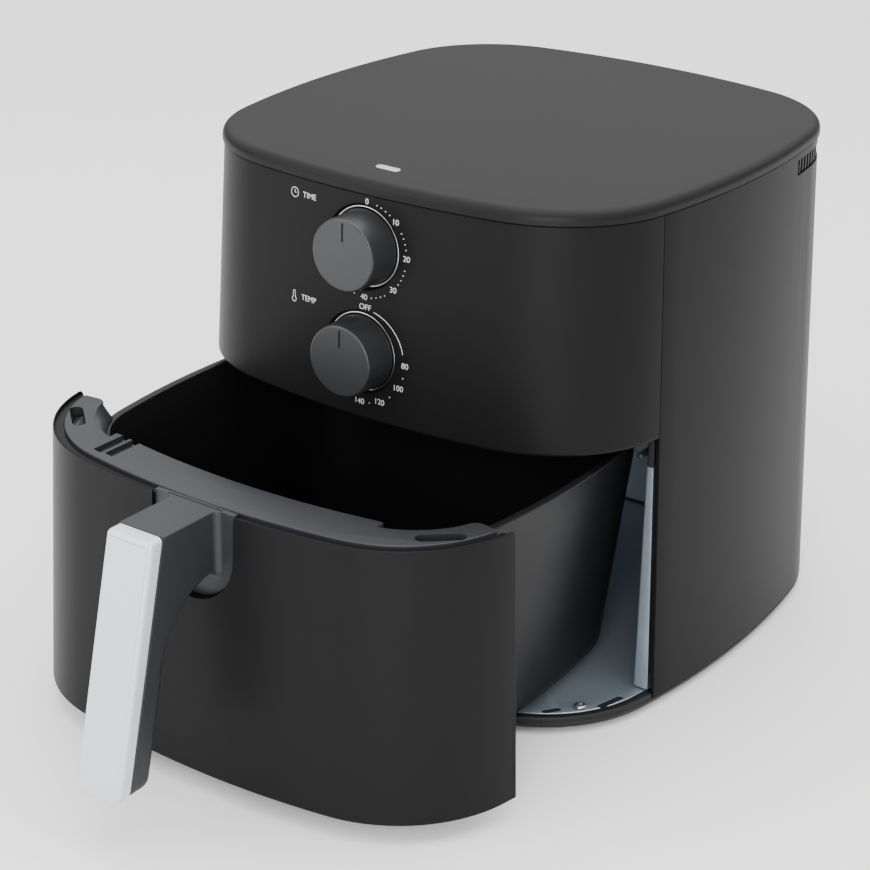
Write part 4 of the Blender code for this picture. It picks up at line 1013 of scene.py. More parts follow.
# ---- Bay: floor, side walls and frame ----
# The drawer runs in a bay of bright galvanised sheet: a pressed floor plate with slots, and a wall bent
# round the sides and back whose front edges turn outwards. A dark plastic frame sits on top of the wall.


def spangled(name, colour, roughness):
    """Galvanised sheet: soft patches of slightly different grey and gloss over a very fine grain."""
    made = grained(name, colour, roughness, grain=0.0009, depth=0.015, drift=0.04, metallic=0.7, tint=0.05)
    clouds = [node for node in made.node_tree.nodes if node.type == "TEX_NOISE"]
    slow = min(clouds, key=lambda node: node.inputs["Scale"].default_value)
    slow.inputs["Scale"].default_value = 120.0
    slow.inputs["Detail"].default_value = 1.0
    return made


galvanised = spangled("galvanised_sheet", (0.34, 0.40, 0.46), 0.36)
floor_inset = 0.0064
floor_top = floor_high.z
bm = bmesh.new()
floor_profile = [
    (0.0300, floor_low.z), (floor_inset + 0.0004, floor_low.z), (floor_inset, floor_low.z + 0.0002),
    (floor_inset, floor_top - 0.0002), (floor_inset + 0.0003, floor_top), (0.0110, floor_top),
    (0.0118, floor_top - 0.0001), (0.0126, floor_top - 0.0004), (0.0300, floor_top - 0.0004),
]
dish_into(bm, body_plan, floor_profile, body_scale, middle_y)
floor = as_piece("floor_sheet", bm)
# Each slot's middle, length and lean in degrees, on the right-hand side.
floor_slots = (((0.1300, -0.0975), 0.0180, 76), ((0.1100, -0.1240), 0.0110, 56))
floor_slot_width = 0.0045
slot_tools = []
for side in (-1, 1):
    for (x, y), length, lean in floor_slots:
        spin = Matrix.Rotation(math.radians(lean), 2)
        outline = [spin @ Vector(p) for p in capsule(length, floor_slot_width)]
        spots = [(side * (x + p.x), middle_y + y + p.y) for p in outline]
        slot_tools.append(prism("floor_slot_tool", spots, floor_low.z - 0.004, floor_top + 0.004))
carved(floor, *slot_tools)
finish(floor, galvanised, "housing", "galvanised", "floor_plate")

floor_screw_names = ["floor_screw_left", "floor_screw_right"]
plate_screw_low, plate_screw_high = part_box("floor_screw_left")
plate_screw_radius = (plate_screw_high.x - plate_screw_low.x) / 2
floor_spots = [Vector((middle_of(n).x, middle_of(n).y, plate_screw_low.z)) for n in floor_screw_names]
floor_screws = copies(
    "floor_screws",
    cross_screw("floor_screw_shape", plate_screw_radius, plate_screw_high.z - plate_screw_low.z),
    floor_spots,
    screw_steel,
)
finish(floor_screws, screw_steel, "housing", "steel", *floor_screw_names)

bay_half, bay_back, bay_corner = 0.1310, 0.1240, 0.055
sheet = 0.0008


def bay_plan(flange):
    """Centre line of the bent sheet from the left flange's edge round the bay to the right one's."""
    front = -seam_y + 0.0006
    turn_radius = 0.0016
    right = [(Vector((flange, front)), Vector((0, 1)))]
    for t in quarter_turn(4):
        centre = Vector((bay_half + turn_radius, front + turn_radius))
        normal = Vector((math.sin(t), math.cos(t)))
        right.append((centre - Vector((math.sin(t), math.cos(t))) * turn_radius, normal))
    corner = Vector((bay_half - bay_corner, bay_back - bay_corner))
    for t in quarter_turn(16):
        normal = Vector((math.cos(t), math.sin(t)))
        right.append((corner + normal * bay_corner, normal))
    return right + left_of(right)


def bent_sheet(name, low, high, thickness, flange_at):
    """A sheet stood on edge along the bay; flange_at gives the reach of its flanges at each height."""
    section = rounded(
        [(-thickness, low, 0.00012), (0.0, low, 0.00012), (0.0, high, 0.00012), (-thickness, high, 0.00012)], 2
    )
    bm = bmesh.new()
    wall_into(bm, lambda z: bay_plan(flange_at(z)), section, straight, middle_y, end_round=0.0001)
    return as_piece(name, bm)


liner_low, liner_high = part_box("bay_liner")
frame_low, frame_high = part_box("bay_frame")


def flange_width(z):
    """How far the outward flange reaches from the middle, following the body's flare."""
    share = (z - liner_low.z) / (frame_high.z - liner_low.z)
    return liner_high.x + (frame_high.x - liner_high.x) * share


liner_sheet = bent_sheet("bay_wall", liner_low.z, liner_high.z, sheet, flange_width)
finish(liner_sheet, galvanised, "housing", "galvanised", "bay_liner")
trim_plastic = grained("trim_plastic", (0.0150, 0.0162, 0.0188), 0.42, shine=0.3)
frame_piece = bent_sheet("bay_top_frame", frame_low.z, frame_high.z, wall, flange_width)
finish(frame_piece, trim_plastic, "housing", "trim", "bay_frame")

# ---- Heater ----
# Above the bay a galvanised ceiling carries an upside-down steel pan, with a second pan over it as a heat
# shield. A tubular element of nearly two turns hangs inside, and a wire guard keeps food off it.

sheet_soft = 0.0060
pan_flange = 0.008


def layered(name, outline, levels, place, angle=32.0):
    """A plate from one outline: (shrinkage, height) levels with both ends filled."""
    bm = bmesh.new()
    rows = [[bm.verts.new(place(p, t)) for p in (shrunk(outline, s) if s else outline)] for s, t in levels]
    fill_rows(bm, rows, True, False)
    bm.faces.new(rows[0][::-1])
    bm.faces.new(rows[-1])
    return as_piece(name, bm, angle)


def round_levels(low, high, radius, steps=4):
    """Levels of a plate whose upper and lower edges are rounded."""
    turns = quarter_turn(steps)
    lower = [(radius * (1 - math.sin(t)), low + radius * (1 - math.cos(t))) for t in turns]
    upper = [(radius * (1 - math.cos(t)), high - radius * (1 - math.sin(t))) for t in turns]
    return lower + upper


def flat(point, height):
    return Vector((point.x, point.y, height))


def arc_points(centre, radius, start, end, steps=8):
    turns = [math.radians(start + (end - start) * k / steps) for k in range(steps + 1)]
    return [(centre[0] + radius * math.cos(t), centre[1] + radius * math.sin(t)) for t in turns]


def pressed_pan(name, cad_name, hole):
    """A pan pressed from sheet, open side down, with a flange and a hole in the middle of its top."""
    low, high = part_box(cad_name)
    radius = (high.x - low.x) / 2 - pan_flange
    brim = radius + pan_flange
    bend = 0.0012
    seat, top = low.z, high.z
    outer = [(hole, top)]
    outer += arc_points((radius - sheet_soft, top - sheet_soft), sheet_soft, 90, 0)
    outer += arc_points((radius + bend, seat + sheet + bend), bend, 180, 270, 4)
    soft = 0.0002
    outer += [(brim - soft, seat + sheet), (brim, seat + sheet - soft), (brim, seat + soft), (brim - soft, seat)]
    inner = arc_points((radius + bend, seat + sheet + bend), bend + sheet, 270, 180, 4)
    inner += arc_points((radius - sheet_soft, top - sheet_soft), sheet_soft - sheet, 0, 90)
    inner.append((hole, top - sheet))
    return turned(name, outer + inner, (0, middle_y, 0))


ceiling_low, ceiling_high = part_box("bay_ceiling")
ceiling_outline = [place_on(s, wall + 0.009, ceiling_low.z, body_scale, middle_y) for s in body_plan]
ceiling = layered("ceiling_sheet", [Vector((p.x, p.y)) for p in ceiling_outline],
                  round_levels(ceiling_low.z, ceiling_high.z, 0.0002, 1), flat)
dome_low, dome_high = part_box("heater_dome")
dome_radius = (dome_high.x - dome_low.x) / 2 - pan_flange
carved(ceiling, turned("ceiling_hole_tool", [(0, -0.01), (dome_radius, -0.01), (dome_radius, 0.01), (0, 0.01)],
                       (0, middle_y, ceiling_low.z)))
finish(ceiling, galvanised, "housing", "galvanised", "bay_ceiling")

plain_steel = grained("plain_steel", (0.50, 0.50, 0.50), 0.33, grain=0.0009, metallic=1.0, tint=0.08)
shaft_radius = 0.0030
shaft_hole = shaft_radius + 0.004
heater_pan = pressed_pan("heater_pan", "heater_dome", shaft_hole)
finish(heater_pan, plain_steel, "housing", "steel", "heater_dome")
shield_pan = pressed_pan("heat_shield_pan", "heat_shield", shaft_hole)
finish(shield_pan, galvanised, "housing", "galvanised", "heat_shield")


def wire(name, lines, radius, sides=3):
    """Round wire or tube along open lines of points."""
    curve = bpy.data.curves.new(name, "CURVE")
    curve.dimensions = "3D"
    curve.bevel_depth = radius
    curve.bevel_resolution = sides
    curve.use_fill_caps = True
    for points in lines:
        spline = curve.splines.new("POLY")
        spline.points.add(len(points) - 1)
        for target, point in zip(spline.points, points):
            target.co = (*point, 1.0)
    holder = bpy.data.objects.new(name, curve)
    bpy.context.scene.collection.objects.link(holder)
    mesh = bpy.data.meshes.new_from_object(holder.evaluated_get(bpy.context.evaluated_depsgraph_get()))
    bpy.data.objects.remove(holder)
    bm = bmesh.new()
    bm.from_mesh(mesh)
    return as_piece(name, bm, 50.0)


coil_low, coil_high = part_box("heating_coil")
tube_radius, coil_radius, coil_pitch, coil_turns = 0.0032, 0.078, 0.011, 1.9
coil_z = coil_low.z + tube_radius
coil_end = coil_high.z - tube_radius
bend_radius = 0.006
coil_points = []
for k in range(181):
    t = math.tau * coil_turns * k / 180
    radius = coil_radius - coil_pitch * coil_turns * k / 180
    coil_points.append(Vector((radius * math.cos(t), middle_y + radius * math.sin(t), coil_z)))


def turned_up(points):
    """Bends the start of a line upwards and carries it to the element's terminals."""
    way = (points[1] - points[0]).normalized()
    bent = [points[0] - way * bend_radius * math.sin(t) + Vector((0, 0, bend_radius * (1 - math.cos(t))))
            for t in quarter_turn(6, 1)]
    return [Vector((bent[-1].x, bent[-1].y, coil_end))] + bent[::-1] + points


coil_points = turned_up(turned_up(coil_points)[::-1])
element_metal = grained("element_sheath", (0.075, 0.072, 0.070), 0.48, grain=0.0012, metallic=0.85, tint=0.2)
coil = wire("tube_element", [coil_points], tube_radius, 5)
finish(coil, element_metal, "housing", "element", "heating_coil")


def guard_tree():
    tree, start, end = node_tree(
        "wire_guard",
        ("Rings", "NodeSocketInt", 4),
        ("Spokes", "NodeSocketInt", 6),
        ("First Radius", "NodeSocketFloat", 0.012),
        ("Ring Pitch", "NodeSocketFloat", 0.028),
        ("Wire Radius", "NodeSocketFloat", 0.0008),
        ("Material", "NodeSocketMaterial", None),
    )
    link = tree.links.new

    def maths(operation, first, second):
        node = tree.nodes.new("ShaderNodeMath")
        node.operation = operation
        for socket, value in zip(node.inputs, (first, second)):
            if isinstance(value, (int, float)):
                socket.default_value = value
            else:
                link(value, socket)
        return node.outputs["Value"]

    def stack(count):
        line = tree.nodes.new("GeometryNodeMeshLine")
        line.inputs["Offset"].default_value = (0, 0, 0)
        link(count, line.inputs["Count"])
        return line.outputs["Mesh"]

    index = tree.nodes.new("GeometryNodeInputIndex").outputs["Index"]
    circle = tree.nodes.new("GeometryNodeCurvePrimitiveCircle")
    circle.inputs["Resolution"].default_value = 120
    circle.inputs["Radius"].default_value = 1.0
    rings = tree.nodes.new("GeometryNodeInstanceOnPoints")
    further = maths("MULTIPLY", index, start.outputs["Ring Pitch"])
    grown_radius = maths("ADD", further, start.outputs["First Radius"])
    link(stack(start.outputs["Rings"]), rings.inputs["Points"])
    link(circle.outputs["Curve"], rings.inputs["Instance"])
    link(grown_radius, rings.inputs["Scale"])
    reach = maths("MULTIPLY", maths("SUBTRACT", start.outputs["Rings"], 1), start.outputs["Ring Pitch"])
    tip = tree.nodes.new("ShaderNodeCombineXYZ")
    root = tree.nodes.new("ShaderNodeCombineXYZ")
    link(maths("ADD", reach, start.outputs["First Radius"]), tip.inputs["X"])
    link(start.outputs["First Radius"], root.inputs["X"])
    spoke = tree.nodes.new("GeometryNodeCurvePrimitiveLine")
    link(root.outputs["Vector"], spoke.inputs["Start"])
    link(tip.outputs["Vector"], spoke.inputs["End"])
    spokes = tree.nodes.new("GeometryNodeInstanceOnPoints")
    spin = tree.nodes.new("ShaderNodeCombineXYZ")
    link(maths("DIVIDE", maths("MULTIPLY", index, math.tau), start.outputs["Spokes"]), spin.inputs["Z"])
    link(stack(start.outputs["Spokes"]), spokes.inputs["Points"])
    link(spoke.outputs["Curve"], spokes.inputs["Instance"])
    link(spin.outputs["Vector"], spokes.inputs["Rotation"])
    both = tree.nodes.new("GeometryNodeJoinGeometry")
    link(rings.outputs["Instances"], both.inputs["Geometry"])
    link(spokes.outputs["Instances"], both.inputs["Geometry"])
    solid = tree.nodes.new("GeometryNodeRealizeInstances")
    round_wire = tree.nodes.new("GeometryNodeCurvePrimitiveCircle")
    round_wire.inputs["Resolution"].default_value = 10
    link(start.outputs["Wire Radius"], round_wire.inputs["Radius"])
    swept = tree.nodes.new("GeometryNodeCurveToMesh")
    swept.inputs["Fill Caps"].default_value = True
    link(both.outputs["Geometry"], solid.inputs["Geometry"])
    link(solid.outputs["Geometry"], swept.inputs["Curve"])
    link(round_wire.outputs["Curve"], swept.inputs["Profile Curve"])
    return painted(tree, start, end, swept.outputs["Mesh"])


guard_low, guard_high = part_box("element_guard")
guard_radius = (guard_high.x - guard_low.x) / 2
guard_rings, guard_hub = 7, 0.012
guard = grown("wire_guard", bpy.data.meshes.new("guard_base"), guard_tree(), rings=guard_rings, spokes=6,
              first_radius=guard_hub, ring_pitch=(guard_radius - 0.0008 - guard_hub) / (guard_rings - 1),
              wire_radius=0.0008, material=plain_steel)
guard.data.transform(Matrix.Translation((0, middle_y, (guard_low.z + guard_high.z) / 2)))
guard.data.shade_smooth()
finish(guard, plain_steel, "housing", "steel", "element_guard")

# ---- Fans and motor ----
# One upright steel shaft turns two fans: a steel one in the heater pan moves the hot air, and a plastic one
# above the shield cools the motor. The motor hangs in a bent bracket on the shield.


def blade_tree():
    tree, start, end = node_tree(
        "blades_round_an_axis",
        ("Blade", "NodeSocketObject", None),
        ("Count", "NodeSocketInt", 12),
        ("Material", "NodeSocketMaterial", None),
    )
    link = tree.links.new
    line = tree.nodes.new("GeometryNodeMeshLine")
    line.inputs["Offset"].default_value = (0, 0, 0)
    index = tree.nodes.new("GeometryNodeInputIndex")
    whole_turn = tree.nodes.new("ShaderNodeMath")
    whole_turn.operation = "MULTIPLY"
    whole_turn.inputs[1].default_value = math.tau
    share = tree.nodes.new("ShaderNodeMath")
    share.operation = "DIVIDE"
    spin = tree.nodes.new("ShaderNodeCombineXYZ")
    fetch = tree.nodes.new("GeometryNodeObjectInfo")
    place = tree.nodes.new("GeometryNodeInstanceOnPoints")
    link(start.outputs["Count"], line.inputs["Count"])
    link(index.outputs["Index"], whole_turn.inputs[0])
    link(whole_turn.outputs["Value"], share.inputs[0])
    link(start.outputs["Count"], share.inputs[1])
    link(share.outputs["Value"], spin.inputs["Z"])
    link(start.outputs["Blade"], fetch.inputs["Object"])
    link(line.outputs["Mesh"], place.inputs["Points"])
    link(fetch.outputs["Geometry"], place.inputs["Instance"])
    link(spin.outputs["Vector"], place.inputs["Rotation"])
    return painted(tree, start, end, place.outputs["Instances"])


blades_round = blade_tree()
disc_thickness = 0.0012


def impeller(name, cad_name, count, hub_height, material):
    """A disc with a hub and a ring of curved upright blades; hub_height is negative when they hang down."""
    low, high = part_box(cad_name)
    radius = (high.x - low.x) / 2
    above = hub_height > 0
    disc_low = low.z if above else high.z - disc_thickness
    disc_high = disc_low + disc_thickness
    hub_radius, bore = 0.0075, shaft_radius + 0.0004
    edge = 0.0003
    rim = [(radius - edge, disc_low), (radius, disc_low + edge)]
    rim += [(radius, disc_high - edge), (radius - edge, disc_high)]
    if above:
        profile = [(bore, disc_low), *rim, (hub_radius + 0.002, disc_high), (hub_radius, disc_high + 0.002),
                   (hub_radius - 0.001, disc_high + hub_height), (bore, disc_high + hub_height)]
    else:
        profile = [(bore, disc_low + hub_height), (hub_radius - 0.001, disc_low + hub_height),
                   (hub_radius, disc_low - 0.002), (hub_radius + 0.002, disc_low), *rim, (bore, disc_high)]
    disc = turned(f"{name}_disc", profile, (0, 0, 0))
    lean = math.radians(14)
    middle_line = []
    for k in range(9):
        share = k / 8
        reach = radius * 0.36 + (radius * 0.62) * share
        turn = lean * share * share
        middle_line.append(Vector((reach * math.cos(turn), reach * math.sin(turn))))
    half = 0.0006
    sides = []
    for k, point in enumerate(middle_line):
        way = (middle_line[min(k + 1, 8)] - middle_line[max(k - 1, 0)]).normalized()
        sides.append((point + Vector((way.y, -way.x)) * half, point + Vector((-way.y, way.x)) * half))
    outline = [a for a, _ in sides] + [b for _, b in sides[::-1]]
    blade_low, blade_high = (disc_high - edge, high.z) if above else (low.z, disc_low + edge)
    blade = layered("blade", outline, [(0.0, blade_low), (0.0, blade_high - 0.0003), (0.0002, blade_high)], flat)
    ring_mesh = bpy.data.meshes.new("blade_base")
    blades = grown(f"{name}_blades", ring_mesh, blades_round, blade=blade, count=count, material=material)
    bpy.data.objects.remove(blade)
    fan = joined(name, disc, blades)
    fan.data.transform(Matrix.Translation((0, middle_y, 0)))
    return finish(fan, material, "fan_rotor", "steel" if not above else "trim", cad_name)


impeller("hot_fan_wheel", "hot_air_fan", 12, -0.004, plain_steel)
impeller("cooling_fan_wheel", "cooling_fan", 9, 0.004, trim_plastic)

shaft_low, shaft_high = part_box("fan_shaft")
tip = 0.0005
shaft_profile = [
    (0, shaft_low.z), (shaft_radius - tip, shaft_low.z), (shaft_radius, shaft_low.z + tip),
    (shaft_radius, shaft_high.z - tip), (shaft_radius - tip, shaft_high.z), (0, shaft_high.z),
]
rotor_shaft = turned("rotor_shaft", shaft_profile, (0, middle_y, 0), steps=48)
finish(rotor_shaft, screw_steel, "fan_rotor", "steel", "fan_shaft")

nut_low, nut_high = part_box("fan_nut")
nut_radius = (nut_high.x - nut_low.x) / 2
nut_outline = []
for k in range(6):
    t = math.tau * k / 6
    nut_outline.append(Vector((nut_radius * math.cos(t), nut_radius * math.sin(t))))
nut = layered("hexagon_nut", nut_outline, round_levels(nut_low.z, nut_high.z, 0.0004, 3), flat)
nut_bore = shaft_radius + 0.0002
nut_drill = turned("nut_bore_tool", [(0, -0.01), (nut_bore, -0.01), (nut_bore, 0.01), (0, 0.01)],
                   (0, 0, (nut_low.z + nut_high.z) / 2), steps=48)
carved(nut, nut_drill)
nut.data.transform(Matrix.Translation((0, middle_y, 0)))
finish(nut, screw_steel, "fan_rotor", "steel", "fan_nut")

motor_low, motor_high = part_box("fan_motor")
motor_radius = (motor_high.x - motor_low.x) / 2
motor_height = motor_high.z - motor_low.z
bore = shaft_radius + 0.0010
motor_profile = [(0, motor_height), (0, motor_height - 0.003), (bore, motor_height - 0.003), (bore, 0)]
motor_profile += arc_points((motor_radius - 0.0035, 0.0035), 0.0035, -90, 0, 6)
motor_profile += [(motor_radius, motor_height * 0.30), (motor_radius - 0.0012, motor_height * 0.33),
                  (motor_radius - 0.0012, motor_height * 0.62), (motor_radius, motor_height * 0.65)]
motor_profile += arc_points((motor_radius - 0.0035, motor_height - 0.0035), 0.0035, 0, 90, 6)
motor = turned("motor_can", motor_profile, (0, middle_y, motor_low.z))
finish(motor, plain_steel, "housing", "steel", "fan_motor")

bracket_low, bracket_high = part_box("motor_bracket")
bracket_half = bracket_high.x - 0.010
bracket_sheet = 0.0015
foot_z, bridge_z = bracket_low.z, bracket_high.z - bracket_sheet
outer_bend, inner_bend = 0.0028, 0.0013
bracket_outline = rounded(
    [
        (-bracket_high.x, foot_z, 0.0003),
        (-bracket_half, foot_z, inner_bend),
        (-bracket_half, bridge_z, inner_bend),
        (bracket_half, bridge_z, inner_bend),
        (bracket_half, foot_z, inner_bend),
        (bracket_high.x, foot_z, 0.0003),
        (bracket_high.x, foot_z + bracket_sheet, 0.0003),
        (bracket_half + bracket_sheet, foot_z + bracket_sheet, 0.0004),
        (bracket_half + bracket_sheet, bracket_high.z, outer_bend),
        (-bracket_half - bracket_sheet, bracket_high.z, outer_bend),
        (-bracket_half - bracket_sheet, foot_z + bracket_sheet, 0.0004),
        (-bracket_high.x, foot_z + bracket_sheet, 0.0003),
    ]
)
motor_strap = prism("motor_strap", bracket_outline, bracket_low.y, bracket_high.y, "Y")
finish(motor_strap, galvanised, "housing", "galvanised", "motor_bracket")

# ---- Outlet duct, rear grille and cord gland ----
# A sheet duct leads used air to a plastic grille with slanting louvres in the back wall. Low on the left of
# the back, a ribbed gland holds the cord where it enters.


def box_outline(name, inset, radius, axes="xz"):
    low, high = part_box(name)
    (a, b), (c, d) = [(getattr(low, k) + inset, getattr(high, k) - inset) for k in axes]
    return rounded([(a, c, radius), (b, c, radius), (b, d, radius), (a, d, radius)], 4)


duct_low, duct_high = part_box("outlet_duct")
duct = prism("air_duct", box_outline("outlet_duct", 0.0, 0.0022), duct_low.y, duct_high.y, "Y")
carved(duct, prism("duct_bore_tool", box_outline("outlet_duct", sheet, 0.0014), duct_low.y - 0.01,
                   duct_high.y + 0.01, "Y"))
finish(duct, galvanised, "housing", "galvanised", "outlet_duct")

grille_round = 0.0010
grille_levels = [(0.0, outlet_low.y), (0.0, outlet_high.y - grille_round)]
for t in quarter_turn(4, 1):
    grille_levels.append((grille_round * (1 - math.cos(t)), outlet_high.y - grille_round * (1 - math.sin(t))))
grille = layered("outlet_grille", box_outline("rear_grille", 0.0, 0.0020), grille_levels,
                 lambda p, y: Vector((p.x, y, p.y)))
grille_margin, louvre_count = 0.0050, 6
carved(grille, prism("grille_window_tool", box_outline("rear_grille", grille_margin - 0.0010, 0.0015),
                     outlet_low.y - 0.01, outlet_high.y + 0.01, "Y"))


def louvre_tree():
    tree, start, end = node_tree(
        "louvres_in_a_column",
        ("Louvre", "NodeSocketObject", None),
        ("Count", "NodeSocketInt", 6),
        ("Pitch", "NodeSocketFloat", 0.006),
        ("Material", "NodeSocketMaterial", None),
    )
    link = tree.links.new
    step = tree.nodes.new("ShaderNodeCombineXYZ")
    line = tree.nodes.new("GeometryNodeMeshLine")
    fetch = tree.nodes.new("GeometryNodeObjectInfo")
    place = tree.nodes.new("GeometryNodeInstanceOnPoints")
    link(start.outputs["Pitch"], step.inputs["Z"])
    link(start.outputs["Count"], line.inputs["Count"])
    link(step.outputs["Vector"], line.inputs["Offset"])
    link(start.outputs["Louvre"], fetch.inputs["Object"])
    link(line.outputs["Mesh"], place.inputs["Points"])
    link(fetch.outputs["Geometry"], place.inputs["Instance"])
    return painted(tree, start, end, place.outputs["Instances"])


louvre_pitch = (outlet_high.z - outlet_low.z - grille_margin) / louvre_count
louvre_depth = outlet_high.y - outlet_low.y - 0.0016
louvre_round, louvre_drop, louvre_thickness = 0.0008, 0.0034, 0.0022
louvre_section = rounded(
    [
        (0.0, 0.0, louvre_round),
        (louvre_depth, -louvre_drop, louvre_round),
        (louvre_depth, louvre_thickness - louvre_drop, louvre_round),
        (0.0, louvre_thickness, louvre_round),
    ],
    4,
)
louvre = prism("louvre", louvre_section, outlet_low.x + 0.003, outlet_high.x - 0.003, "X")
louvre.data.transform(Matrix.Translation((0, outlet_low.y + 0.0006, outlet_low.z + grille_margin + 0.0004)))
louvres = grown("louvres", bpy.data.meshes.new("louvre_base"), louvre_tree(), louvre=louvre,
                count=louvre_count - 1, pitch=louvre_pitch, material=trim_plastic)
louvres.data.transform(Matrix.Translation((0, 0, louvre_pitch * 0.75)))
bpy.data.objects.remove(louvre)
finish(joined("outlet_grille", grille, louvres), trim_plastic, "housing", "trim", "rear_grille")

gland_half = (gland_high.x - gland_low.x) / 2
gland_radius = gland_half / 1.3
collar = gland_high.y - 0.0034
gland_profile = [(0, -0.012), (gland_radius - 0.0005, -0.012), (gland_radius, -0.0115), (gland_radius, 0.0)]
gland_profile += arc_points((gland_half - 0.0009, 0.0009), 0.0009, -90, 45, 5)
gland_profile += [(gland_radius * 0.95, 0.0024), (gland_radius * 0.80, 0.0024), (gland_radius * 0.76, 0.0032),
                  (gland_radius * 0.70, 0.0034), (gland_radius * 0.50, 0.0034), (gland_radius * 0.45, 0.0029),
                  (gland_radius * 0.45, -0.004), (0, -0.004)]
finish(turned("cord_entry", gland_profile, (gland_centre.x, collar, gland_centre.z), "Y"), trim_plastic, "housing",
       "trim", "cord_gland")

# ---- Controls and wiring parts ----
# Behind the panel a sheet bracket holds a clockwork timer with its bell and a thermostat, each with a steel
# shaft for its dial. A terminal block, a thermal cut-out and the drawer's safety switch complete the wiring.

nylon = grained("off_white_nylon", (0.72, 0.71, 0.66), 0.48, tint=0.04)
restyle(galvanised, "control_bracket")
restyle(nylon, "timer_unit", "thermostat_unit", "terminal_block", "thermal_cutout", "interlock_switch")
restyle(screw_steel, "timer_shaft", "thermostat_shaft")
bell_low, bell_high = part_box("timer_bell")
bell_radius = (bell_high.x - bell_low.x) / 2
bell_height = bell_high.y - bell_low.y
bell_profile = [(0, 0), (bell_radius - 0.0003, 0), (bell_radius, 0.0004), (bell_radius - 0.0002, 0.0012)]
bell_profile += [
    (bell_radius * math.cos(math.radians(t)), 0.0012 + (bell_height - 0.0012) * math.sin(math.radians(t)))
    for t in (15, 30, 45, 60, 75)
]
bell_profile.append((0, bell_height))
finish(turned("bell", bell_profile, (0, bell_low.y, (bell_low.z + bell_high.z) / 2), "Y"), plain_steel, "housing",
       "steel", "timer_bell")

peg_low, peg_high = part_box("switch_peg")
peg_x, peg_z = (peg_low.x + peg_high.x) / 2, (peg_low.z + peg_high.z) / 2
peg_radius = (peg_high.x - peg_low.x) / 2
peg_length = peg_high.y - peg_low.y
peg_profile = [(0, 0), (peg_radius, 0), (peg_radius, peg_length - 0.0014)]
peg_profile += arc_points((peg_radius - 0.0013, peg_length - 0.0013), 0.0013, 0, 90, 6)
peg_profile.append((0, peg_length))
peg = turned("safety_peg", peg_profile, (peg_x, peg_high.y, peg_z), "-Y", 48)
finish(peg, trim_plastic, "interlock_peg", "trim", "switch_peg")


# ---- Drawer front ----
# The lower front of the body comes away with the drawer: the same curved black plastic, with a thin lip
# round its top, a shelf just below the lip, and a round-ended notch in the middle for the handle.

drawer_y = middle_of("pot").y + 0.003
front_low, front_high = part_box("drawer_front")
drawer_edge = seam_y + 0.0012
rim_z = front_high.z
drawer_wall = 0.0026
lip, shelf_drop, shelf_inset, shelf_thickness = 0.0010, 0.0018, 0.0054, 0.0016
tip_radius = 0.0032  # of the upper corner at each side edge


def tip_rows(samples, reach):
    """The samples with a few more near each end, so that an end can be shaped."""
    more = []
    for tip, inner in ((samples[0], samples[1]), (samples[-1], samples[-2])):
        way = (inner[0] - tip[0]).normalized()
        more.append([(tip[0] + way * reach * (k / 6) ** 1.5, tip[1]) for k in range(2, 7)])
    return [samples[0]] + more[0] + samples[2:-2] + more[1][::-1] + [samples[-1]]


def lower_tips(bm, edge, top, radius):
    """Rounds the upper corner of a wall where it ends at a side edge."""
    for vertex in bm.verts:
        left = edge - vertex.co.y
        if vertex.co.z > top - radius * 1.2 and left < radius:
            part = max(0.0, radius - max(left, 0.0))
            vertex.co.z -= radius - math.sqrt(max(0.0, radius * radius - part * part))


front_section = rounded(
    [
        (0.0, front_low.z, 0.0008),
        (0.0, rim_z, 0.0005),
        (lip, rim_z, 0.0004),
        (lip, rim_z - shelf_drop, 0.0),
        (shelf_inset, rim_z - shelf_drop, 0.0),
        (shelf_inset, rim_z - shelf_drop - shelf_thickness, 0.0),
        (drawer_wall, rim_z - shelf_drop - shelf_thickness, 0.0),
        (drawer_wall, front_low.z, 0.0008),
    ]
)
drawer_plan = front_up_to(drawer_edge)
bm = bmesh.new()
wall_into(bm, lambda z: tip_rows(drawer_plan(z), tip_radius), front_section, body_scale, drawer_y)
lower_tips(bm, drawer_y - drawer_edge, rim_z, tip_radius)
drawer_shell = as_piece("drawer_face", bm)

arm_low, arm_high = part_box("handle_arm")
flange_half = (arm_high.x - arm_low.x) / 2
flange_low = 0.1065
flange_face = arm_high.y - 0.0035
arm_half = 0.0140


def flange_outline(margin, top):
    """Upright plate with a half-round lower end, in X and Z."""
    half = flange_half + margin
    centre_z = flange_low + flange_half
    turns = [math.pi + math.pi * k / 40 for k in range(41)]
    return [Vector((half * math.cos(t), centre_z + half * math.sin(t))) for t in turns] + [
        Vector((half, top)), Vector((-half, top))]


notch = prism("handle_notch_tool", flange_outline(0.0005, rim_z + 0.01), front_low.y - 0.01,
              arm_high.y + 0.004, "Y")
carved(drawer_shell, notch, folds=True)
finish(drawer_shell, body_plastic, "drawer", "body", "drawer_front")

# ---- Drawer liner ----
# Behind the drawer front a second, dark plastic wall hides the handle's screws. A small block on its right
# end pushes the safety peg back when the drawer is shut.

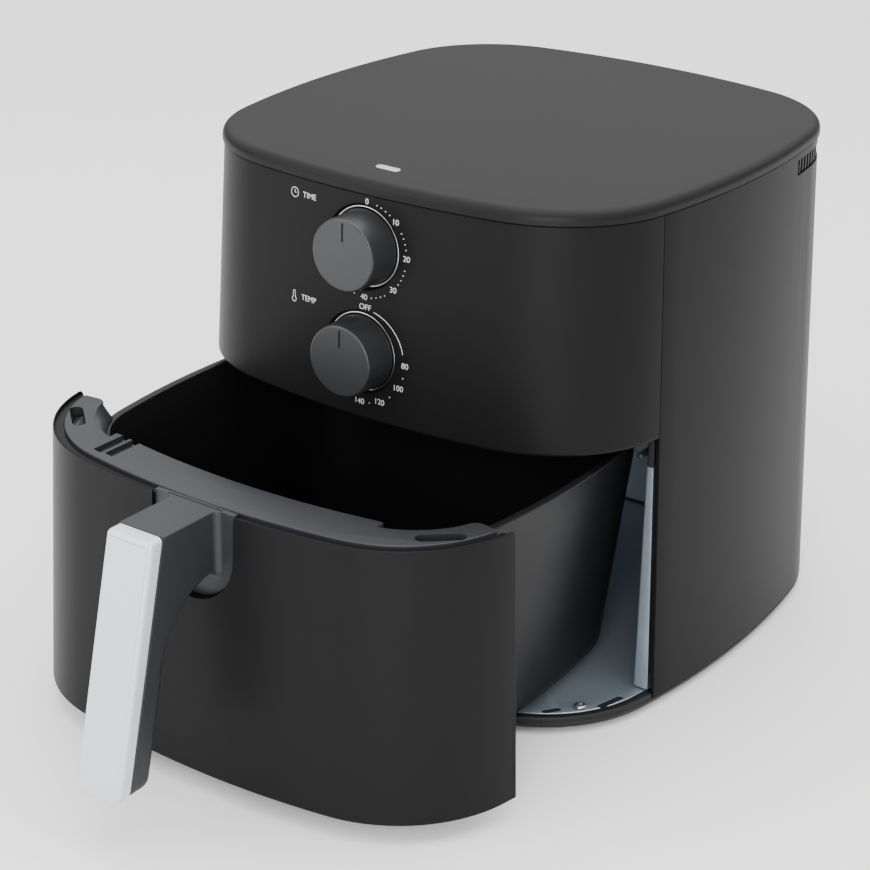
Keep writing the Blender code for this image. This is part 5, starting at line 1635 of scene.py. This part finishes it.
liner_box_low, liner_box_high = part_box("drawer_liner")
liner_inset, liner_wall = 0.0088, 0.0020
liner_section = rounded(
    [
        (liner_inset, liner_box_low.z, 0.0006),
        (liner_inset, liner_box_high.z, 0.0006),
        (liner_inset + liner_wall, liner_box_high.z, 0.0006),
        (liner_inset + liner_wall, liner_box_low.z, 0.0006),
    ]
)
bm = bmesh.new()
wall_into(bm, front_up_to(drawer_edge + 0.010), liner_section, body_scale, drawer_y)
lug_outline = rounded(
    [
        (peg_x - 0.0020, peg_z - 0.0030, 0.0008),
        (peg_x + 0.0030, peg_z - 0.0030, 0.0008),
        (peg_x + 0.0030, peg_z + 0.0030, 0.0008),
        (peg_x - 0.0020, peg_z + 0.0030, 0.0008),
    ]
)
lug = prism("peg_lug", lug_outline, drawer_y - drawer_edge - 0.0180, liner_box_high.y, "Y")
drawer_liner = joined("drawer_liner_wall", as_piece("liner_wall", bm), lug)
finish(drawer_liner, trim_plastic, "drawer", "trim", "drawer_liner")

# ---- Drawer top trim ----
# A dark bluish-grey plate closes the top between the drawer front and the pot. Towards each end its inner
# side slopes down to the pot's rim. It has a long slot on each side and two small notches on the left.

trim_low, trim_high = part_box("drawer_trim")
trim_top = trim_high.z
pot_low, pot_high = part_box("pot")
pot_rim = pot_high.z
pot_bends, pot_corners = (0.442, 0.476, 0.401), (0.050, 0.050)
pot_half = half_plan(pot_high.x - pot_low.x, pot_high.y - pot_low.y, pot_bends, pot_corners)
pot_y = middle_of("pot").y
trim_end = drawer_edge + 0.0030
slope_inset = -0.0024  # plate's inner edge over the slopes, outside the pot's rim
slope_from = 0.0820


trim_outer = half_plan(body_width, body_depth, body_bends, body_corners, to_y=-trim_end)
outer_line = [place_on(s, drawer_wall + 0.0032, trim_top, body_scale, 0.0) for s in trim_outer]
inner_line = []
for sample in pot_half:
    over_slope = sample[0].x > slope_from
    spot = place_on(sample, slope_inset if over_slope else 0.0040, trim_top, straight, pot_y - drawer_y)
    if spot.y < -trim_end:
        if over_slope and inner_line and inner_line[-1].x < slope_from:
            inner_line.append(Vector((spot.x, inner_line[-1].y, 0)))
        inner_line.append(spot)
inner_line.append(Vector((inner_line[-1].x + 0.0001, -trim_end, 0)))
right_edge = [Vector((p.x, p.y)) for p in outer_line] + [Vector((p.x, p.y)) for p in inner_line[::-1]]
corner_at = len(outer_line) - 1
ends = {corner_at: 0.0012, corner_at + 1: 0.0060}
right_corners = []
for k, spot in enumerate(right_edge):
    near_lobe = 0 < (spot - right_edge[corner_at + 1]).length < 0.0085 and k > corner_at + 1
    if not near_lobe:
        right_corners.append((spot.x, spot.y, ends.get(k, 0.0)))
left_corners = [(-x, y, r) for x, y, r in right_corners[::-1] if x > 1e-6]
trim_outline = rounded(right_corners + left_corners, 8)
trim_outline = [Vector((p.x, p.y + drawer_y)) for p in trim_outline]
trim = layered("drawer_top_plate", trim_outline, round_levels(trim_low.z, trim_top, 0.0006), flat)
trim_tools = []
trim_slot_length, trim_slot_width, trim_slot_lean = 0.0245, 0.0070, 42
trim_slot_out, trim_slot_ahead = 0.1150, 0.1060
for side in (-1, 1):
    spin = Matrix.Rotation(math.radians(trim_slot_lean), 2)
    slot = [spin @ Vector(p) for p in capsule(trim_slot_length, trim_slot_width)]
    spots = [(side * (trim_slot_out + p.x), drawer_y - trim_slot_ahead + p.y) for p in slot]
    trim_tools.append(prism("trim_slot_tool", spots, trim_low.z - 0.01, trim_top + 0.01))
for near, far in ((0.0665, 0.0722), (0.0742, 0.0800)):
    outline = rounded([(-near, drawer_y - 0.1325, 0.0008), (-far, drawer_y - 0.1315, 0.0008),
                       (-far, drawer_y - 0.1000, 0.0), (-near, drawer_y - 0.1000, 0.0)], 3)
    trim_tools.append(prism("trim_notch_tool", outline, trim_top - 0.0026, trim_top + 0.01))
carved(trim, *trim_tools)
slope_low = pot_rim + 0.0004
slope_section = rounded(
    [
        (0.0036, slope_low, 0.0004),
        (slope_inset - 0.0002, trim_top - 0.0001, 0.0012),
        (slope_inset - 0.0030, trim_top - 0.0001, 0.0),
        (slope_inset - 0.0030, trim_low.z, 0.0),
        (0.0010, slope_low, 0.0),
    ],
    4,
)
slopes = []
slope_samples = [s for s in pot_half if s[0].x > slope_from and s[0].y + pot_y - drawer_y < -trim_end - 0.0005]
for samples in (slope_samples, left_of(slope_samples)):
    bm = bmesh.new()
    wall_into(bm, samples, slope_section, straight, pot_y)
    slopes.append(as_piece("trim_slope", bm))
trim = joined("drawer_top_plate", trim, *slopes)
finish(trim, trim_plastic, "drawer", "trim", "drawer_trim")

# ---- Pot ----
# The pot is pressed from one sheet of aluminium with a dark non-stick coat inside and out. Its walls lean in
# towards a rounded lower edge, and a thin outward rim rests on the drawer.

nonstick = grained("nonstick_coating", (0.0070, 0.0070, 0.0078), 0.34, grain=0.0006, depth=0.008, shine=0.12)
pot_wall, pot_flange, pot_taper, knee_height = 0.0012, 0.0035, 0.0150, 0.012
pot_bottom = pot_low.z
knee = pot_bottom + knee_height
rim_low = pot_rim - pot_wall


def pot_inset(z):
    """How far the pot's outside lies inside its rim, above the rounded lower edge."""
    return pot_flange + (pot_taper - 0.0010) * (rim_low - z) / (rim_low - knee)


pot_plan = whole(pot_half)
pot_profile = [(0.045, pot_bottom)]
for k in range(9):
    t = math.pi / 2 * (1 - k / 8)
    pot_profile.append((pot_inset(knee) + 0.0095 * (1 - math.cos(t)), knee - knee_height * math.sin(t)))
for k in range(1, 8):
    z = knee + (rim_low - 0.0012 - knee) * k / 7
    pot_profile.append((pot_inset(z), z))
pot_profile += [(pot_flange - 0.0002, rim_low - 0.0004), (pot_flange - 0.0008, rim_low)]
for k in range(7):
    t = math.pi * k / 6
    pot_profile.append((0.0006 - 0.0006 * math.sin(t), rim_low + 0.0006 * (1 - math.cos(t))))
pot_profile += [(pot_flange + pot_wall - 0.0012, pot_rim), (pot_flange + pot_wall - 0.0004, pot_rim - 0.0003)]
pot_profile.append((pot_flange + pot_wall, pot_rim - 0.0012))
for k in range(1, 8):
    z = rim_low - 0.0012 + (knee - rim_low + 0.0012) * k / 7
    pot_profile.append((pot_inset(z) + pot_wall, z))
for t in quarter_turn(8, 1):
    inset = pot_inset(knee) + pot_wall + 0.0090 * (1 - math.cos(t))
    pot_profile.append((inset, knee - (knee_height - pot_wall) * math.sin(t)))
pot_profile.append((0.045, pot_bottom + pot_wall))
bm = bmesh.new()
dish_into(bm, pot_plan, pot_profile, straight, pot_y)
pot = as_piece("cooking_pot", bm)
finish(pot, nonstick, "drawer", "nonstick", "pot")

# ---- Crisper tray ----
# A coated plate with round holes lies in the pot and lets fat drip and hot air pass under the food. Its edge
# is turned up a little, and four silicone feet keep it off the pot's bottom.

tray_low, tray_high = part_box("crisper_tray")
tray_inset = pot_inset(tray_low.z) + pot_wall + 0.0030
lip_rise = 0.0030
tray_profile = [
    (0.042, tray_low.z), (tray_inset + 0.0016, tray_low.z), (tray_inset + 0.0006, tray_low.z + 0.0004),
    (tray_inset + 0.0002, tray_low.z + 0.0012), (tray_inset, tray_high.z + lip_rise - 0.0004),
    (tray_inset + 0.0004, tray_high.z + lip_rise), (tray_inset + 0.0010, tray_high.z + lip_rise - 0.0004),
    (tray_inset + 0.0013, tray_high.z + 0.0008), (tray_inset + 0.0022, tray_high.z), (0.042, tray_high.z),
]
bm = bmesh.new()
dish_into(bm, pot_plan, tray_profile, straight, pot_y)
tray = as_piece("crisper_plate", bm)


def hole_tree():
    tree, start, end = node_tree(
        "hole_grid",
        ("Across", "NodeSocketInt", 4),
        ("Pitch", "NodeSocketFloat", 0.04),
        ("Radius", "NodeSocketFloat", 0.006),
        ("Depth", "NodeSocketFloat", 0.02),
        ("Material", "NodeSocketMaterial", None),
    )
    link = tree.links.new
    steps = tree.nodes.new("ShaderNodeMath")
    steps.operation = "SUBTRACT"
    steps.inputs[1].default_value = 1.0
    span = tree.nodes.new("ShaderNodeMath")
    span.operation = "MULTIPLY"
    grid = tree.nodes.new("GeometryNodeMeshGrid")
    drill = tree.nodes.new("GeometryNodeMeshCylinder")
    drill.inputs["Vertices"].default_value = 32
    place = tree.nodes.new("GeometryNodeInstanceOnPoints")
    link(start.outputs["Across"], steps.inputs[0])
    link(steps.outputs["Value"], span.inputs[0])
    link(start.outputs["Pitch"], span.inputs[1])
    link(span.outputs["Value"], grid.inputs["Size X"])
    link(span.outputs["Value"], grid.inputs["Size Y"])
    link(start.outputs["Across"], grid.inputs["Vertices X"])
    link(start.outputs["Across"], grid.inputs["Vertices Y"])
    link(start.outputs["Radius"], drill.inputs["Radius"])
    link(start.outputs["Depth"], drill.inputs["Depth"])
    link(grid.outputs["Mesh"], place.inputs["Points"])
    link(drill.outputs["Mesh"], place.inputs["Instance"])
    return painted(tree, start, end, place.outputs["Instances"])


holes = hole_tree()
hole_pitch = 0.0424
for across, radius in ((4, 0.0060), (3, 0.0042)):
    drills = grown("tray_holes_tool", bpy.data.meshes.new("drill_base"), holes, across=across, pitch=hole_pitch,
                   radius=radius, depth=0.03, material=nonstick)
    drills.data.transform(Matrix.Translation((0, pot_y, tray_low.z)))
    carved(tray, drills)
finish(tray, nonstick, "drawer", "nonstick", "crisper_tray")

tray_foot_names = [f"tray_foot_{row}_{side}" for row in ("front", "back") for side in ("left", "right")]
tray_foot_low, tray_foot_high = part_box(tray_foot_names[0])
tray_foot_radius = (tray_foot_high.x - tray_foot_low.x) / 2
tray_foot_height = tray_foot_high.z - tray_foot_low.z
tray_foot_profile = [(0, 0)]
for t in quarter_turn(5):
    tray_foot_profile.append((tray_foot_radius - 0.0016 * (1 - math.sin(t)), 0.0016 * (1 - math.cos(t))))
tray_foot_profile += [
    (tray_foot_radius, tray_foot_height * 0.70), (tray_foot_radius * 0.72, tray_foot_height * 0.76),
    (tray_foot_radius * 0.72, tray_foot_height), (0, tray_foot_height),
]
tray_rubber = grained("tray_foot_silicone", (0.030, 0.030, 0.032), 0.6, grain=0.0008, depth=0.03)
tray_feet = copies(
    "tray_feet",
    turned("tray_foot_shape", tray_foot_profile, steps=48),
    [Vector((middle_of(n).x, middle_of(n).y, tray_foot_low.z)) for n in tray_foot_names],
    tray_rubber,
)
finish(tray_feet, tray_rubber, "drawer", "rubber", *tray_foot_names)

# ---- Handle ----
# One dark moulding: a round-ended flange set into the drawer front, an arm that grows out of it with a soft
# hollow corner, and a leaning grip. A satin silver cover is clipped over the grip's outer face.

grip_low, grip_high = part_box("grip_cover")
cover_thickness, grip_thickness = 0.0080, 0.0140
grip_end = grip_low.z + 0.0025
lean_reach = 0.0290
grip_top_y = grip_low.y + lean_reach
arm_top = arm_high.z
finger_radius = 0.042
arc_z = flange_low + 0.016 - finger_radius
hollow_radius = 0.0040


def grip_y(z):
    """Y of the cover's outer face at a height."""
    return grip_top_y - lean_reach * (arm_top - z) / (arm_top - grip_low.z)


arc_y = grip_y(arc_z) + cover_thickness + grip_thickness + finger_radius


def arm_ring(bm, inner, outer, half, inner_round=0.0030, outer_round=0.0008):
    """One section of the arm: a rounded rectangle between an inner and an outer point in Y and Z."""
    way = outer - inner
    length = way.length
    way.normalize()
    inner_round = min(inner_round, length * 0.4)
    section = [
        (-half, 0.0, inner_round),
        (half, 0.0, inner_round),
        (half, length, outer_round),
        (-half, length, outer_round),
    ]
    row = []
    for spot in rounded(section, 6):
        flat = inner + way * spot.y
        row.append(bm.verts.new((spot.x, flat.x, flat.y)))
    return row


cover_line = Vector((grip_y(arm_top) + cover_thickness + 0.0004, arm_top))
bm = bmesh.new()
arm_rows = []
arm_rows.append(arm_ring(bm, Vector((flange_face + 0.0012, arc_z + finger_radius - hollow_radius)),
                         Vector((flange_face + 0.0012, arm_top)), arm_half + hollow_radius))
for t in quarter_turn(8):
    y = flange_face - hollow_radius * (1 - math.cos(t))
    spread = hollow_radius * (1 - math.sin(t))
    under = arc_z + math.sqrt(max(0.0, finger_radius ** 2 - min(0.0, y - arc_y) ** 2)) - spread
    arm_rows.append(arm_ring(bm, Vector((y, under)), Vector((y, arm_top)), arm_half + spread))
start_turn = math.acos(max(-1.0, min(1.0, (flange_face - hollow_radius - arc_y) / finger_radius)))
corner_turn = math.radians(138)
steps = 14
for k in range(1, steps + 1):
    t = start_turn + (corner_turn - start_turn) * k / steps
    inner = Vector((arc_y + finger_radius * math.cos(t), arc_z + finger_radius * math.sin(t)))
    share = k / steps
    outer_y = (flange_face - hollow_radius) * (1 - share) + cover_line.x * share
    arm_rows.append(arm_ring(bm, inner, Vector((outer_y, arm_top)), arm_half))
for k in range(1, steps + 1):
    share = k / steps
    t = corner_turn + (math.pi - corner_turn) * share
    inner = Vector((arc_y + finger_radius * math.cos(t), arc_z + finger_radius * math.sin(t)))
    z = arm_top + (arc_z - arm_top) * share
    arm_rows.append(arm_ring(bm, inner, Vector((grip_y(z) + cover_thickness + 0.0004, z)), arm_half))
end_radius = 0.0040
for k in range(1, 9):
    z = arc_z + (grip_end + end_radius - arc_z) * k / 8
    inner = Vector((grip_y(z) + cover_thickness + grip_thickness, z))
    arm_rows.append(arm_ring(bm, inner, Vector((grip_y(z) + cover_thickness + 0.0004, z)), arm_half))
for t in quarter_turn(6, 1):
    z = grip_end + end_radius * (1 - math.sin(t))
    back = grip_y(z) + cover_thickness + grip_thickness - end_radius * (1 - math.cos(t))
    half = arm_half - 0.0012 * (1 - math.cos(t))
    arm_rows.append(arm_ring(bm, Vector((back, z)), Vector((grip_y(z) + cover_thickness + 0.0004, z)), half))
fill_rows(bm, arm_rows, True, False)
bm.faces.new(arm_rows[0][::-1])
bm.faces.new(arm_rows[-1])
arm = as_piece("arm_and_grip", bm)

plate_back = arm_high.y
flange_levels = [(s, -y) for s, y in round_levels(-plate_back, -flange_face, 0.0006)]
flange_plate = layered("flange_plate", flange_outline(0.0, arm_top), flange_levels,
                       lambda p, y: Vector((p.x, y, p.y)))
handle = joined("handle_moulding", arm, flange_plate)
finish(handle, trim_plastic, "drawer", "trim", "handle_arm")

grip_silver = grained("grip_silver_paint", (0.56, 0.58, 0.60), 0.36, metallic=0.35, coat=0.1, tint=0.03)
cover_round = 0.0022
cover_outline = rounded(
    [
        (-arm_half, grip_low.z, 0.0055),
        (arm_half, grip_low.z, 0.0055),
        (arm_half, grip_high.z, 0.0027),
        (-arm_half, grip_high.z, 0.0027),
    ],
    8,
)
cover_levels = [(0.0003, 0.0), (0.0, 0.0004), (0.0, cover_thickness - cover_round)]
for t in quarter_turn(6, 1):
    cover_levels.append((cover_round * (1 - math.cos(t)), cover_thickness - cover_round * (1 - math.sin(t))))
cover_levels.append((cover_round + 0.0008, cover_thickness))
cover = layered("silver_grip_cover", cover_outline, cover_levels,
                lambda p, t: Vector((p.x, grip_y(p.y) + cover_thickness - t, p.y)))
finish(cover, grip_silver, "drawer", "silver", "grip_cover")

handle_screw_names = ["handle_screw_left", "handle_screw_right"]
handle_screw_low, handle_screw_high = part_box(handle_screw_names[0])
handle_screws = copies(
    "handle_screws",
    cross_screw("handle_screw_shape", (handle_screw_high.x - handle_screw_low.x) / 2, 0.0018, "Y"),
    [Vector((middle_of(n).x, handle_screw_low.y, middle_of(n).z)) for n in handle_screw_names],
    screw_steel,
)
finish(handle_screws, screw_steel, "drawer", "steel", *handle_screw_names)

# ---- Table, light and view ----
# The fryer stands on a pale table under soft studio light: a wide panel overhead, a low one in front and to
# the right that lights the drawer and the front corner, and a tall one in front on the left.

table_finish = grained("table_surface", (0.86, 0.86, 0.86), 0.55, grain=0.004, depth=0.01, tint=0.01)
bm = bmesh.new()
bmesh.ops.create_grid(bm, x_segments=8, y_segments=8, size=6.0)
bmesh.ops.translate(bm, vec=(0, middle_y, cad_box[0].z - 0.0002), verts=bm.verts)
table = as_piece("table", bm)
table.data.materials.append(table_finish)

world = bpy.data.worlds.new("studio")
world.use_nodes = True
sky = world.node_tree
sky_way = sky.nodes.new("ShaderNodeTexCoord")
sky_split = sky.nodes.new("ShaderNodeSeparateXYZ")
sky_height = sky.nodes.new("ShaderNodeMapRange")
sky_height.interpolation_type = "SMOOTHSTEP"
sky_height.inputs["From Min"].default_value = 0.05
sky_height.inputs["From Max"].default_value = 0.60
sky_height.inputs["To Min"].default_value = 0.25
sky_height.inputs["To Max"].default_value = 2.3
sky.links.new(sky_way.outputs["Generated"], sky_split.inputs["Vector"])
sky.links.new(sky_split.outputs["Z"], sky_height.inputs["Value"])
sky.links.new(sky_height.outputs["Result"], sky.nodes["Background"].inputs["Strength"])
sky.nodes["Background"].inputs["Color"].default_value = (1.0, 1.0, 1.0, 1)
bpy.context.scene.world = world


def soft_light(name, place, aim, width, height, power):
    light = bpy.data.lights.new(name, "AREA")
    light.shape = "RECTANGLE"
    light.size, light.size_y = width, height
    light.energy = power
    holder = bpy.data.objects.new(name, light)
    holder.location = place
    holder.rotation_euler = (Vector(aim) - Vector(place)).to_track_quat("-Z", "Y").to_euler()
    bpy.context.scene.collection.objects.link(holder)


heart = Vector((0, middle_y, 0.15))
soft_light("overhead", heart + Vector((0.1, 0.1, 1.5)), heart, 1.6, 1.6, 20)
soft_light("front_panel", heart + Vector((0.65, -1.20, 0.35)), heart, 0.45, 0.7, 13)
soft_light("left_panel", heart + Vector((-0.8, -1.2, 0.5)), heart, 0.6, 1.3, 9)

view_round, view_up, view_roll = 35.192, 23.780, 1.182  # degrees
view_from = Vector((-0.046723, -0.051365, 1.309563))
turn = (
    Matrix.Rotation(math.radians(view_round), 3, "Z")
    @ Matrix.Rotation(math.radians(90 - view_up), 3, "X")
    @ Matrix.Rotation(math.radians(view_roll), 3, "Z")
)
lens = bpy.data.cameras.new("camera")
lens.sensor_width = 36.0
lens.lens = 95.68
lens.clip_start = 0.05
camera = bpy.data.objects.new("camera", lens)
camera.location = heart + turn @ view_from
camera.rotation_euler = turn.to_euler()
bpy.context.scene.collection.objects.link(camera)
bpy.context.scene.camera = camera
